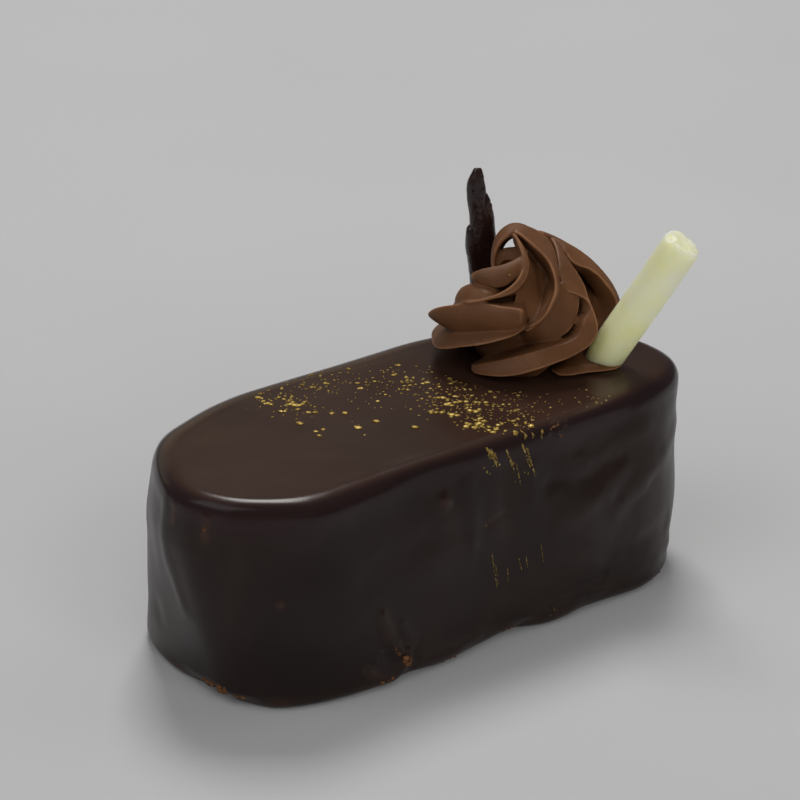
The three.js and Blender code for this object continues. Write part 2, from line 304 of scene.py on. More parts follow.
def floor_material():
    m, nt, bsdf, oc = material("pale_floor", (0.62, 0.62, 0.63), 0.85, Specular_IOR_Level=0.15)
    nt.links.new(ramp(nt, noise_node(nt, oc, 6, 2, 0.5), [(0.3, (0.566, 0.566, 0.574)), (0.7, (0.590, 0.590, 0.598))]), bsdf.inputs["Base Color"])
    return m


GLAZE, GANACHE, WHITE, DARK = glaze_material(), ganache_material(), white_material(), dark_material()
GOLD, CRUMB, FLOOR = gold_material(), crumb_material(), floor_material()

# ======================================================================== the glazed cake
# The same plan outlines, rounds and bumps as the solid, with far more points and finer relief.
CAKE_LENGTH, CAKE_WIDTH, CAKE_HEIGHT = 120.6, 54.6, 42.0
TOP_ROUND, FOOT_ROUND, BLEND_HEIGHT = 3.0, 2.2, 36.0
TOP_EDGE = dict(right=60.2, left=-60.3, front=-26.2, back=26.6, right_nose=-6.0, left_nose=-6.6,
                right_front=(40, 2.4), left_front=(23.4, 1.9), left_back=(41, 1.95), right_back=(44, 1.95))
FOOT_EDGE = dict(right=58.8, left=-55.5, front=-27.3, back=27.2, right_nose=0.3, left_nose=-10.3,
                 right_front=(26, 2.25), left_front=(33, 2.4), left_back=(32, 2.95), right_back=(30, 2.2))
WALL_BUMPS = [(-49, 16, 9, 1.3, 0.3), (54, 10, 8, 1.2, 0.4), (24, 27, 16, 0.5, 0), (1, -26, 9, 0, -1.9), (31, -26, 6, 0, -0.8)]


# The shoulder: an easy turn just under the flat top, then a quicker one into the wall. Each point is
# (tilt from level, how far in from the wall, how far below the top).
def shoulder():
    tilt = np.radians(np.linspace(0, 90, 46))
    bend = np.interp(np.degrees(tilt), [0, 6, 10, 30, 38, 90], [2.0, 4.0, 6.8, 6.8, 3.4, 3.4])
    step = np.diff(tilt)
    mid = (tilt[1:] + tilt[:-1]) / 2
    b = (bend[1:] + bend[:-1]) / 2
    run = np.r_[0, np.cumsum(b * np.cos(mid) * step)]
    drop = np.r_[0, np.cumsum(b * np.sin(mid) * step)]
    return tilt, run[-1] - run, drop


SHOULDER_TILT, SHOULDER_RUN, SHOULDER_DROP = shoulder()
SHOULDER_Z, SHOULDER_IN = (CAKE_HEIGHT - SHOULDER_DROP)[::-1], SHOULDER_RUN[::-1]

# Relief of the wall: lines in millimetres with a half width and a height (negative = hollow),
# and how much of the reddish brown shows along them.
RIPPLES = [
    ([(15.5, -26.7, 21.8), (22.0, -26.6, 22.6), (27.5, -26.2, 24.4), (32.5, -25.7, 27.6)], 2.3, 0.34, 0.0),
    ([(31.0, -25.8, 20.0), (38.0, -25.2, 24.0), (46.0, -22.6, 27.4), (54.5, -17.5, 29.6)], 2.4, 0.40, 0.0),
    ([(20.0, -26.4, 31.0), (30.0, -26.0, 32.6), (40.0, -24.8, 34.6)], 2.8, 0.30, 0.0),
    ([(18.1, -27.2, 15.4), (26.0, -27.0, 13.0), (37.8, -26.0, 10.4), (47.0, -23.0, 10.5)], 2.6, -0.36, 0.0),
    ([(14.0, -26.8, 30.5), (24.0, -26.6, 29.0), (33.0, -25.7, 31.0)], 2.0, -0.30, 0.0),
    ([(-6.0, -26.2, 35.0), (-5.0, -26.0, 28.0), (-5.5, -26.0, 22.0)], 2.2, 0.28, 0.0),
    ([(3.5, -26.3, 35.0), (3.0, -26.2, 29.0), (4.5, -26.0, 24.0)], 2.0, -0.28, 0.0),
    ([(9.5, -26.5, 34.0), (9.0, -26.4, 28.0)], 2.0, 0.22, 0.0),
    ([(-30.0, -26.0, 24.0), (-16.0, -26.4, 27.5), (-4.0, -26.2, 26.0)], 3.2, -0.30, 0.0),
    ([(-40.0, -26.0, 13.0), (-28.0, -27.0, 20.0), (-16.0, -27.0, 20.5)], 3.4, 0.24, 0.0),
    ([(-59.6, -1.0, 37.0), (-59.0, -2.0, 27.0), (-57.8, -6.0, 18.0)], 2.2, 0.30, 0.0),
    ([(-58.5, -12.5, 38.0), (-58.0, -12.0, 34.5)], 0.9, 0.12, 0.75),
    ([(-28.2, -26.8, 15.8), (-27.4, -26.9, 13.5), (-26.2, -27.0, 10.8)], 1.1, 0.75, 0.30),
    ([(-25.2, -27.1, 8.6), (-23.6, -27.1, 7.0), (-21.6, -27.2, 6.4)], 1.0, 0.85, 0.15),
    ([(-23.2, -27.2, 12.0), (-22.4, -27.2, 9.6), (-20.8, -27.2, 8.0)], 1.5, 0.55, 0.0),
    ([(-26.6, -27.1, 6.8), (-24.4, -27.1, 4.4)], 1.6, -0.85, 0.0),
    ([(-31.6, -27.0, 5.0), (-28.9, -27.2, 2.9), (-27.2, -27.0, 1.6), (-24.4, -26.6, 1.2)], 0.75, 0.55, 0.45),
    ([(-21.9, -27.2, 5.0), (-22.3, -27.2, 3.2)], 0.8, 0.6, 0.8),
    ([(-11.8, -26.2, 34.2), (-11.2, -26.2, 33.2)], 1.2, 0.42, 1.0),
    ([(-59.8, -4.2, 38.6), (-59.8, -4.6, 35.6)], 0.9, 0.10, 0.90),
    ([(-58.7, -12.6, 38.4), (-58.6, -12.8, 36.2)], 0.8, 0.10, 0.95),
    ([(16.0, -24.4, 41.4), (17.2, -24.2, 41.4)], 0.8, 0.28, 1.0),
    ([(18.4, -24.8, 41.0), (19.0, -24.6, 41.0)], 0.7, 0.22, 1.0),
    ([(14.9, -25.2, 40.8), (14.2, -25.7, 40.0)], 0.6, 0.20, 0.8),
    ([(16.6, -25.5, 40.0), (16.9, -26.0, 38.6)], 0.7, 0.18, 0.6),
    ([(-1.9, -25.9, 26.0), (0.5, -26.0, 26.6), (2.8, -26.0, 27.0)], 0.7, -0.20, 0.6),
    ([(-48.9, -22.7, 22.6), (-48.7, -22.8, 22.5)], 0.6, 0.12, 0.5),
    ([(14.6, -26.9, 4.0), (15.4, -27.0, 2.6)], 0.5, 0.25, 0.3),
    ([(26.0, -26.6, 4.0), (34.0, -25.8, 3.6), (42.0, -24.4, 4.2), (50.0, -20.6, 5.2)], 1.5, 0.45, 0.15),
    ([(12.0, -26.9, 5.2), (20.0, -26.9, 6.4), (28.0, -26.6, 6.8)], 1.6, -0.35, 0.0),
    ([(-18.0, -26.8, 3.4), (-10.0, -26.8, 3.0), (-3.0, -26.0, 3.4)], 1.4, 0.40, 0.10),
    ([(40.0, 24.6, 34.0), (24.0, 26.6, 30.0), (8.0, 26.8, 31.0), (-10.0, 26.2, 27.0)], 3.0, 0.34, 0.0),
    ([(50.0, 19.0, 22.0), (36.0, 25.8, 17.0), (18.0, 27.0, 18.0)], 3.0, -0.36, 0.0),
    ([(12.0, 27.0, 12.0), (-6.0, 27.0, 9.0), (-22.0, 25.6, 13.0)], 2.8, 0.34, 0.0),
    ([(-30.0, 24.0, 30.0), (-42.0, 18.6, 26.0), (-52.0, 11.0, 28.0)], 3.0, 0.30, 0.0),
    ([(-34.0, 23.4, 12.0), (-46.0, 16.0, 9.0), (-54.0, 7.0, 11.0)], 2.6, -0.30, 0.0),
    ([(58.6, 6.0, 30.0), (59.4, -2.0, 26.0), (57.8, -10.0, 28.0)], 2.8, 0.34, 0.0),
    ([(58.8, 6.0, 14.0), (59.0, -3.0, 11.0), (56.0, -12.0, 13.0)], 2.8, -0.34, 0.0),
]
# Broad swellings of the wall: (place, reach across, reach up, height).
SWELLINGS = [
    ((-46.5, -24.0, 31.0), 8.5, 6.0, -0.75), ((-46.0, -24.0, 15.5), 12.0, 8.0, 0.70), ((-57.0, -9.0, 13.0), 7.0, 8.5, 0.60),
    ((-57.0, -14.0, 32.0), 4.0, 6.0, -0.45), ((-10.0, -26.6, 12.0), 12.0, 6.0, -0.45), ((44.0, -24.0, 18.0), 8.0, 6.0, 0.35),
    ((20.0, 27.0, 24.0), 12.0, 8.0, 0.35), ((-20.0, 26.0, 20.0), 10.0, 7.0, -0.35),
]
# Where the foot is drawn in and a dark gap opens under it: (place, reach, how far in).
FOOT_GAPS = [((-56.0, -6.0), 5.0, 1.5), ((-55.4, -12.0), 4.0, 2.3), ((-52.6, -18.0), 3.6, 1.5), ((7.0, -25.5), 4.5, 1.7),
             ((-20.0, -26.8), 4.0, 1.0), ((24.0, -26.8), 5.0, 0.9), ((46.0, 22.0), 6.0, 1.2), ((-14.0, 27.0), 7.0, 1.0), ((57.0, 4.0), 5.0, 1.0), ((-40.0, 20.0), 5.0, 1.0)]


def line_distance(P, line):
    line = np.asarray(line, float)
    best = np.full(len(P), 1e9)
    for a, b in zip(line[:-1], line[1:]):
        ab = b - a
        t = np.clip(((P - a) @ ab) / (ab @ ab), 0, 1)
        best = np.minimum(best, np.linalg.norm(P - a - t[:, None] * ab, axis=1))
    return best


def poured_relief(P):
    """How far the poured glaze stands out from the wall at each point, and how thin it has run."""
    out, thin = np.zeros(len(P)), np.zeros(len(P))
    wobble = 1 + 0.35 * value_noise(P, 3.2, 61)
    for line, width, height, red in RIPPLES:
        near = np.exp(-(line_distance(P, line) / (width * wobble)) ** 2)
        out += height * near
        thin = np.maximum(thin, red * near)
    for place, across, upward, height in SWELLINGS:
        q = P - np.array(place)
        out += height * np.exp(-(q[:, 0] ** 2 + q[:, 1] ** 2) / across ** 2 - (q[:, 2] / upward) ** 2)
    for place, reach, depth in FOOT_GAPS:
        q = P[:, :2] - np.array(place)
        out -= depth * np.exp(-(q ** 2).sum(1) / reach ** 2) * smooth((4.2 + 1.2 * value_noise(P, 5.0, 62) - P[:, 2]) / 3.4)
    return out, thin


def outline(e):
    def quarter(tip, run, rise, power, t):
        return np.column_stack([tip[0] - run * (1 - np.cos(t) ** (2 / power)), tip[1] + rise * np.sin(t) ** (2 / power)])

    right, left = (e["right"], e["right_nose"]), (e["left"], e["left_nose"])
    up, down = np.linspace(0, 1, 61) * math.pi / 2, np.linspace(1, 0, 61) * math.pi / 2
    up, down = np.clip(up, 0, math.pi / 2 - 1e-12), np.clip(down, 0, math.pi / 2 - 1e-12)
    return np.vstack([
        quarter(right, e["right_back"][0], e["back"] - e["right_nose"], e["right_back"][1], up),
        quarter(left, -e["left_back"][0], e["back"] - e["left_nose"], e["left_back"][1], down),
        quarter(left, -e["left_front"][0], e["front"] - e["left_nose"], e["left_front"][1], up),
        quarter(right, e["right_front"][0], e["front"] - e["right_nose"], e["right_front"][1], down),
    ])


def sampled_outlines(count):
    top, foot = outline(TOP_EDGE), outline(FOOT_EDGE)
    top, foot = np.vstack([top, top[:1]]), np.vstack([foot, foot[:1]])
    s = np.r_[0, np.cumsum(np.linalg.norm(np.diff(top, axis=0), axis=1))]
    want = np.linspace(0, s[-1], count, endpoint=False)
    return [np.column_stack([np.interp(want, s, e[:, 0]), np.interp(want, s, e[:, 1])]) for e in (top, foot)]


def swell(x, y, z):
    right = 0.3 + 0.7 * smooth((x + 10) / 50)
    wall = smooth(z / 8) * smooth((CAKE_HEIGHT - z) / 8)
    d = wall * right * (0.4 * np.sin(x * 0.21 + z * 0.16 + 0.6) + 0.25 * np.sin(x * 0.11 - z * 0.23 + y * 0.19 + 2.1))
    up = smooth(z / BLEND_HEIGHT)
    for bx, by, reach, at_top, at_foot in WALL_BUMPS:
        d = d + mix(at_foot, at_top, up) * np.exp(-((x - bx) ** 2 + (y - by) ** 2) / reach ** 2)
    return d


def wall_point(places, z):
    """The wall's points at a height, before relief, with the outward direction at each."""
    top, foot = places
    up = smooth(z / BLEND_HEIGHT)
    p = mix(foot, top, up)
    t = np.roll(p, -1, 0) - np.roll(p, 1, 0)
    n = np.column_stack([t[:, 1], -t[:, 0]])
    n /= np.linalg.norm(n, axis=1)[:, None]
    under = max(0.0, FOOT_ROUND - z)
    inset = float(np.interp(z, SHOULDER_Z, SHOULDER_IN)) + 1.15 * (FOOT_ROUND - math.sqrt(max(0.0, FOOT_ROUND ** 2 - under ** 2)))
    d = swell(p[:, 0], p[:, 1], z) - inset
    return p + n * d[:, None], n


def build_cake():
    n = 640
    places = sampled_outlines(n)
    heights = [FOOT_ROUND * (1 - math.cos(t)) for t in np.linspace(0, math.pi / 2, 9)]
    heights += list(np.linspace(FOOT_ROUND, CAKE_HEIGHT - SHOULDER_DROP[-1], 74)[1:])
    heights += list((CAKE_HEIGHT - SHOULDER_DROP)[::-1][2::2])
    tilts = np.interp(heights, SHOULDER_Z, SHOULDER_TILT[::-1])
    rings, normals = [], []
    for z, tilt in zip(heights, tilts):
        p, nn = wall_point(places, z)
        rings.append(np.column_stack([p, np.full(n, z)]))
        normals.append(np.column_stack([nn * math.sin(tilt), np.full(n, math.cos(tilt))]))
    R, N = np.array(rings), np.array(normals)
    flat = R.reshape(-1, 3)
    lo, hi = flat.min(0), flat.max(0)
    for q, size in ((0, CAKE_LENGTH), (1, CAKE_WIDTH)):
        R[..., q] = (R[..., q] - (lo[q] + hi[q]) / 2) * size / (hi[q] - lo[q])
    # fine relief of the poured glaze
    P, D = R.reshape(-1, 3), N.reshape(-1, 3)
    z = P[:, 2]
    wall = smooth((z - 0.6) / 4) * (0.2 + 0.8 * smooth((CAKE_HEIGHT + 0.5 - z) / 4))
    relief = 0.10 * value_noise(P * [1, 1, 0.45], 9.0, 3) + 0.05 * value_noise(P * [1, 1, 0.5], 3.6, 5)
    relief = relief * wall * (0.5 + 0.5 * smooth((P[:, 0] + 15) / 40))
    poured, thin = poured_relief(P)
    # the front and left of the rim stand a little further in, and the rim wanders slightly
    inward = smooth((z - 23) / 17) * smooth((-P[:, 1] - 2) / 10) * (0.6 + 1.5 * smooth((P[:, 0] + 42) / 26) * (1 - smooth((P[:, 0] - 30) / 24)))
    inward += 1.1 * smooth((z - 30) / 10) * smooth((-P[:, 0] - 42) / 10)
    drift = 0.25 * value_noise(P * [1, 1, 0], 14.0, 6) * smooth((z - 34) / 6)
    P += D * (relief + poured - 0.14)[:, None] - N.reshape(-1, 3) * [1, 1, 0] * (inward + drift)[:, None]
    # nothing stands outside the solid's own box
    P[:, 0] = np.clip(P[:, 0], -CAKE_LENGTH / 2 - 0.3, CAKE_LENGTH / 2 + 0.3)
    P[:, 1] = np.clip(P[:, 1], -CAKE_WIDTH / 2 - 0.5, CAKE_WIDTH / 2 + 0.5)
    P[:, 2] = np.maximum(P[:, 2], 0.0)
    R = P.reshape(R.shape)
    # the flat top, ring by ring towards the middle line
    top = R[-1]
    caps = []
    steps = 30
    for k in range(1, steps + 1):
        t = 0.985 * k / steps
        core = np.column_stack([np.clip(top[:, 0], -36, 36), np.zeros(n) + 0.0])
        q = mix(top[:, :2], core, t)
        p3 = np.column_stack([q, np.zeros(n)])
        rise = 0.06 * value_noise(p3, 16, 11) + 0.03 * value_noise(p3, 6, 12)
        rim = 0.05 * math.exp(-((t - 0.03) / 0.05) ** 2)
        caps.append(np.column_stack([q, mix(top[:, 2], CAKE_HEIGHT - 0.1 + rise, smooth(t / 0.15)) + rim - 0.03 * t]))
    verts = np.vstack([R.reshape(-1, 3), np.array(caps).reshape(-1, 3)])
    verts[:, 2] = np.minimum(verts[:, 2], CAKE_HEIGHT + 0.1)
    levels = len(heights) + steps
    faces = ring_faces(levels, n, close_low=True, close_high=True)
    obj = mesh_object("cake_in_glaze", verts, faces, GLAZE)
    weld(obj, 0.00002)
    # how thin the coat has run: along the foot edge and on bumps
    co = points_of(obj)
    thin = poured_relief(co)[1]
    speckle = 0.5 + 0.5 * value_noise(co, 4.0, 63)
    foot = np.exp(-((co[:, 2] - 1.2) / 1.3) ** 2) * speckle * (0.25 + 0.5 * smooth((-co[:, 0] - 45) / 8))
    thin = np.clip(np.maximum(thin * (0.6 + 0.4 * value_noise(co, 0.9, 64)), foot), 0, 1)
    thin = thin * smooth((np.hypot(co[:, 0] * 0.42, co[:, 1]) - 16) / 4)
    layer = obj.data.attributes.new("thin", "FLOAT", "POINT")
    layer.data.foreach_set("value", thin.astype(np.float32))
    # how far down the painted dark band under the rim reaches, a painted dark reflection: further at the left front
    # than elsewhere
    down = np.interp(co[:, 0], [-59.0, -54.5, -50.0, -45.5, -42.0, -39.5, -37.5], [35.5, 34.2, 32.4, 29.6, 30.6, 34.0, 35.5])
    down = np.where(co[:, 1] < 0, down, 35.5) + 1.4 * value_noise(co * [1, 1, 0.2], 7.0, 66) + 0.8 * value_noise(co * [1, 1, 0.3], 2.6, 67)
    layer = obj.data.attributes.new("run", "FLOAT", "POINT")
    layer.data.foreach_set("value", smooth((co[:, 2] - down + 0.8) / 5.2).astype(np.float32))
    return obj


def points_of(obj):
    co = np.empty(len(obj.data.vertices) * 3)
    obj.data.vertices.foreach_get("co", co)
    return co.reshape(-1, 3) / MM


def weld(obj, distance):
    import bmesh
    bm = bmesh.new()
    bm.from_mesh(obj.data)
    bmesh.ops.remove_doubles(bm, verts=bm.verts, dist=distance)
    bmesh.ops.dissolve_degenerate(bm, edges=bm.edges, dist=distance * 0.1)
    bm.to_mesh(obj.data)
    bm.free()
    obj.data.polygons.foreach_set("use_smooth", [True] * len(obj.data.polygons))
    obj.data.update()


# ======================================================================== the piped swirl
# Described in its own frame: across (to the right as seen from the front), toward (to the
# viewer) and up, in millimetres from the middle of its foot.
SWIRL = np.array([34.35, 6.34, 42.0])
ACROSS = np.array([0.76991, -0.63815, 0.0])
TOWARD = np.array([-0.63815, -0.76991, 0.0])
UP = np.array([0.0, 0.0, 1.0])


def placed(points):
    p = np.asarray(points, float)
    return SWIRL + p[:, :1] * ACROSS + p[:, 1:2] * TOWARD + p[:, 2:3] * UP


# Each ridge is a pair of edge lines, from the tip of the swirl down to its foot: the upper
# edge and the lower edge of its outer face.
RIDGE_A = (
    [(4.4, -3.0, 23.6), (5.4, 0.8, 22.8), (6.0, 4.6, 21.0), (6.5, 7.9, 18.8), (7.5, 9.5, 16.8), (10.9, 8.8, 15.2), (12.3, 9.6, 13.0), (11.2, 11.6, 11.4), (10.4, 12.8, 9.2),
     (7.9, 14.8, 8.1), (5.1, 16.0, 7.7), (1.6, 16.7, 6.8), (-1.9, 16.7, 5.7), (-5.1, 15.9, 4.4), (-8.4, 14.4, 3.0), (-10.6, 12.4, 1.7), (-11.6, 9.6, 1.2)],
    [(5.6, -3.2, 23.0), (7.4, 1.6, 21.5), (9.0, 3.9, 19.8), (11.3, 6.1, 16.9), (12.2, 8.2, 14.8), (13.1, 9.7, 12.7), (13.8, 10.8, 10.9), (14.1, 11.5, 9.8), (13.9, 12.0, 8.4),
     (12.2, 14.0, 6.8), (8.8, 16.5, 5.6), (4.9, 18.2, 4.7), (1.1, 18.9, 3.5), (-2.8, 18.4, 2.1), (-7.2, 16.6, 1.2), (-10.4, 13.6, 0.6), (-11.8, 10.2, 0.5)])
RIDGE_B = (
    [(-3.4, -0.8, 25.9), (-1.2, -1.7, 26.1), (1.4, -1.8, 25.4), (3.6, -0.6, 24.3), (5.0, 2.2, 23.2), (5.8, 5.6, 21.4), (6.2, 8.8, 18.9), (6.2, 11.0, 16.4), (5.0, 13.0, 14.2),
     (1.4, 15.4, 12.0), (-2.6, 16.0, 10.7), (-6.3, 15.0, 10.1), (-11.1, 12.3, 9.0), (-14.9, 8.0, 7.6), (-16.2, 3.0, 6.0), (-15.6, -3.0, 5.0), (-13.0, -8.0, 3.4), (-9.0, -11.5, 1.6)],
    [(-4.0, 1.8, 25.8), (-2.2, 2.9, 26.1), (0.1, 4.2, 24.9), (2.4, 5.6, 23.2), (4.0, 7.2, 21.6), (4.9, 9.2, 19.9), (5.2, 11.2, 17.9), (4.6, 13.5, 16.1), (3.2, 15.8, 13.7),
     (0.2, 17.4, 12.0), (-3.0, 17.8, 10.1), (-7.2, 17.3, 8.5), (-12.0, 15.3, 6.7), (-17.4, 11.0, 4.5), (-18.6, 4.0, 3.9), (-17.6, -4.0, 2.8), (-14.6, -9.5, 1.7), (-10.0, -13.0, 0.8)])
RIDGE_F = (
    [(-2.8, 2.6, 26.3), (-1.9, 4.0, 25.4), (-0.9, 5.5, 24.4), (-0.1, 7.0, 23.1), (0.3, 8.7, 21.6), (-0.3, 10.8, 19.9), (-2.0, 12.5, 18.1), (-4.3, 13.2, 16.9),
     (-6.8, 13.2, 16.1), (-9.3, 12.9, 15.2), (-11.4, 12.2, 14.4), (-12.8, 11.0, 13.4), (-14.2, 7.4, 11.6), (-14.8, 2.5, 9.4), (-14.0, -2.8, 7.2), (-12.0, -7.8, 5.0), (-8.0, -12.0, 2.8)],
    [(-3.8, 2.9, 26.5), (-2.7, 4.3, 25.6), (-2.0, 5.8, 24.5), (-1.3, 7.4, 23.2), (-1.1, 9.0, 21.9), (-1.6, 10.5, 20.6), (-3.0, 12.0, 19.1), (-4.9, 12.8, 17.8),
     (-7.2, 13.2, 16.8), (-9.7, 13.0, 15.9), (-11.4, 12.0, 15.3), (-12.6, 10.6, 14.7), (-13.7, 6.8, 13.2), (-13.7, 2.2, 11.0), (-12.8, -2.4, 8.8), (-11.0, -6.8, 6.8), (-7.4, -10.8, 4.4)])
LOBE_D = (
    [(-5.0, 9.0, 17.7), (-7.6, 9.9, 17.5), (-9.2, 9.3, 17.7), (-10.8, 8.4, 17.5), (-12.1, 7.4, 16.7), (-13.1, 6.0, 15.4), (-13.2, 3.0, 13.6)],
    [(-4.9, 12.2, 17.4), (-7.3, 12.6, 16.6), (-9.6, 12.7, 14.9), (-11.4, 11.8, 13.9), (-13.0, 10.4, 12.9), (-14.1, 7.8, 12.0), (-14.2, 3.8, 10.8)])
RIDGE_K = (
    [(5.0, -4.8, 22.6), (7.7, -3.6, 22.0), (9.3, -3.0, 21.4), (11.2, -2.5, 20.3), (13.2, -2.2, 18.8), (15.0, -1.8, 17.1), (16.7, -1.2, 15.1), (17.9, -0.2, 13.2),
     (18.8, 1.6, 11.2), (19.0, 4.2, 8.6), (18.2, 6.2, 5.8), (16.6, 7.6, 3.4)],
    [(6.0, -1.8, 22.2), (7.6, 1.0, 21.6), (8.6, 2.4, 20.4), (10.4, 2.5, 19.3), (12.4, 2.2, 18.5), (14.5, 2.2, 17.0), (16.0, 2.7, 15.4), (17.1, 3.2, 13.9),
     (18.0, 4.4, 11.8), (18.0, 6.6, 8.8), (17.2, 8.4, 5.4), (15.6, 9.4, 2.6)])
RIDGE_L = (
    [(1.5, -3.0, 24.6), (4.4, -6.4, 22.6), (7.4, -9.0, 20.0), (10.6, -10.2, 17.0), (13.6, -10.0, 13.8), (16.2, -8.2, 10.8), (18.0, -4.8, 8.0), (18.8, -0.4, 5.4), (18.8, 4.0, 3.2), (18.2, 7.6, 1.6)],
    [(2.6, -2.4, 24.4), (6.0, -4.6, 22.0), (9.6, -6.0, 19.6), (13.0, -6.4, 16.2), (15.8, -5.8, 12.8), (17.8, -3.8, 9.8), (19.0, -0.4, 6.8), (19.4, 3.4, 4.0), (19.3, 6.4, 2.0), (18.6, 9.0, 0.8)])
RIDGE_M = (
    [(10.5, 7.2, 16.0), (9.1, 7.9, 17.1), (7.5, 8.5, 18.0), (6.1, 9.3, 17.8), (4.5, 11.0, 16.2), (2.8, 12.5, 13.8), (0.9, 12.6, 11.3), (-0.9, 11.6, 9.1), (-2.8, 10.2, 7.6)],
    [(10.2, 9.6, 12.4), (9.6, 10.8, 10.7), (8.5, 12.0, 9.3), (6.7, 12.6, 8.0), (4.4, 12.8, 7.4), (2.3, 12.2, 6.7), (0.4, 11.0, 6.1), (-1.5, 9.8, 5.6), (-3.1, 8.6, 5.3)])
FILL_K = (
    [(8.6, -1.0, 18.3), (9.8, -3.0, 16.4), (11.5, -4.2, 15.2), (13.3, -4.2, 13.9), (14.9, -3.0, 12.9), (16.2, -0.8, 11.9), (17.1, 2.0, 10.7), (17.5, 4.2, 8.6)],
    [(8.2, 0.0, 18.6), (9.1, -0.5, 16.8), (10.9, 0.4, 14.6), (12.1, 1.8, 12.4), (12.9, 3.4, 10.5), (13.7, 5.4, 9.0), (13.8, 7.4, 8.1), (13.6, 8.8, 7.0)])
FILL_B = (
    [(1.5, -1.0, 22.6), (3.8, -1.2, 20.4), (5.2, -1.0, 18.2), (6.1, -0.2, 16.0), (6.5, 2.4, 14.2), (5.5, 7.4, 13.5), (3.7, 12.0, 12.3), (1.5, 14.6, 11.0), (-0.6, 15.4, 10.1)],
    [(-2.4, 3.2, 24.7), (-1.2, 4.9, 23.5), (-0.4, 6.5, 22.2), (-0.1, 8.3, 21.1), (-0.4, 10.0, 19.4), (-1.8, 11.2, 17.4), (-2.5, 12.0, 15.1), (-1.9, 13.0, 13.0), (-2.6, 13.8, 10.8)])
RIDGE_N = (
    [(0.0, -4.0, 23.6), (1.0, -8.0, 20.6), (3.4, -12.0, 16.8), (6.8, -14.8, 13.0), (10.8, -15.4, 9.6), (14.4, -13.4, 6.6), (17.0, -9.4, 4.2), (18.2, -4.6, 2.2)],
    [(1.6, -4.2, 23.6), (3.4, -7.6, 20.4), (6.4, -10.8, 16.6), (9.8, -12.9, 12.4), (13.6, -13.0, 8.8), (16.8, -10.4, 5.6), (18.6, -6.2, 3.0), (19.0, -2.0, 1.0)])
RIDGE_O = (
    [(-2.0, -3.6, 20.8), (-3.2, -7.4, 16.8), (-3.0, -11.4, 13.2), (-0.4, -15.0, 10.0), (4.0, -17.2, 7.0), (9.0, -16.8, 4.6), (13.2, -13.8, 2.6)],
    [(-0.6, -4.6, 21.0), (-1.0, -8.6, 16.6), (0.2, -12.6, 12.6), (3.4, -15.6, 9.0), (7.8, -17.2, 5.8), (12.2, -15.9, 3.2), (15.8, -12.2, 1.2)])
RIDGE_P = (
    [(-6.0, -1.5, 17.6), (-8.6, -4.8, 14.2), (-9.8, -8.6, 11.0), (-8.8, -12.6, 8.2), (-5.4, -15.8, 5.6), (-0.8, -17.4, 3.4), (3.6, -17.6, 1.6)],
    [(-4.6, -3.4, 17.4), (-6.8, -7.0, 13.8), (-7.2, -11.0, 10.4), (-5.4, -14.8, 7.0), (-1.4, -17.4, 4.4), (3.0, -18.6, 2.2), (7.0, -18.0, 0.8)])
LEAF_C = (
    [(0.2, 15.8, 13.6), (-0.8, 15.6, 14.8), (-2.6, 15.3, 15.2), (-5.5, 14.7, 15.3), (-8.4, 13.5, 15.3), (-11.6, 12.0, 14.7), (-14.7, 10.2, 13.6), (-17.6, 7.7, 12.0), (-19.6, 4.4, 9.5)],
    [(0.7, 15.2, 11.6), (-0.8, 15.2, 10.5), (-2.7, 15.3, 9.8), (-5.4, 14.8, 9.4), (-8.3, 14.0, 9.1), (-11.5, 12.4, 8.5), (-14.6, 10.2, 8.0), (-17.3, 7.6, 8.4), (-19.6, 4.1, 8.7)])
LEAF_E = (
    [(0.4, 4.6, 23.9), (-1.4, 6.8, 23.0), (-3.5, 8.1, 22.2), (-5.5, 8.6, 21.5), (-7.5, 8.4, 20.9), (-9.2, 8.0, 20.3), (-10.3, 7.2, 19.5), (-10.4, 5.4, 18.4)],
    [(-1.4, 9.4, 20.9), (-2.3, 10.4, 19.4), (-4.0, 11.2, 18.4), (-5.6, 11.2, 17.8), (-7.4, 10.8, 17.7), (-9.2, 9.8, 17.8), (-10.4, 8.6, 17.7), (-10.7, 6.6, 17.0)])
HOOK = [(2.6, -0.9, 20.6), (1.9, -0.9, 22.6), (0.6, -1.0, 24.1), (-0.9, -1.1, 25.1), (-2.8, -1.0, 25.3), (-4.4, -0.7, 24.6), (-5.5, -0.4, 23.5), (-6.2, 0.1, 22.0), (-6.5, 0.7, 20.5), (-6.6, 1.4, 19.1), (-6.4, 2.3, 17.8)]
HOOK_BACK = [(1.0, -2.8, 23.0), (-1.0, -2.9, 23.9), (-2.8, -2.8, 23.9), (-4.1, -2.4, 23.2), (-5.0, -1.8, 22.1), (-5.5, -1.0, 20.6), (-5.7, -0.2, 19.0)]
TONGUE = (
    [(-6.6, 0.2, 19.4), (-5.6, 0.8, 21.6), (-4.7, 1.1, 22.2), (-3.8, 1.3, 22.5), (-2.8, 1.8, 22.8), (-2.0, 2.4, 23.3), (-1.4, 3.2, 24.0)],
    [(-7.0, 1.4, 17.4), (-5.9, 2.2, 18.4), (-4.8, 2.8, 20.2), (-3.8, 3.4, 20.6), (-2.6, 4.2, 21.0), (-1.6, 5.0, 21.8), (-1.0, 5.6, 22.8)])
SKIRT = (
    [(3.0, 11.8, 0.9), (5.0, 12.0, 1.2), (7.5, 11.8, 1.5), (10.0, 11.4, 1.7), (13.0, 10.6, 1.7), (16.0, 9.7, 1.6), (18.0, 8.4, 1.6), (19.0, 6.6, 1.8), (19.4, 4.0, 2.0)],
    [(3.0, 13.6, 0.2), (5.0, 13.8, 0.3), (7.5, 13.7, 0.3), (10.0, 13.2, 0.4), (13.0, 12.1, 0.5), (16.0, 11.2, 0.5), (18.5, 9.9, 0.6), (19.8, 7.4, 0.9), (20.1, 4.0, 1.2)])


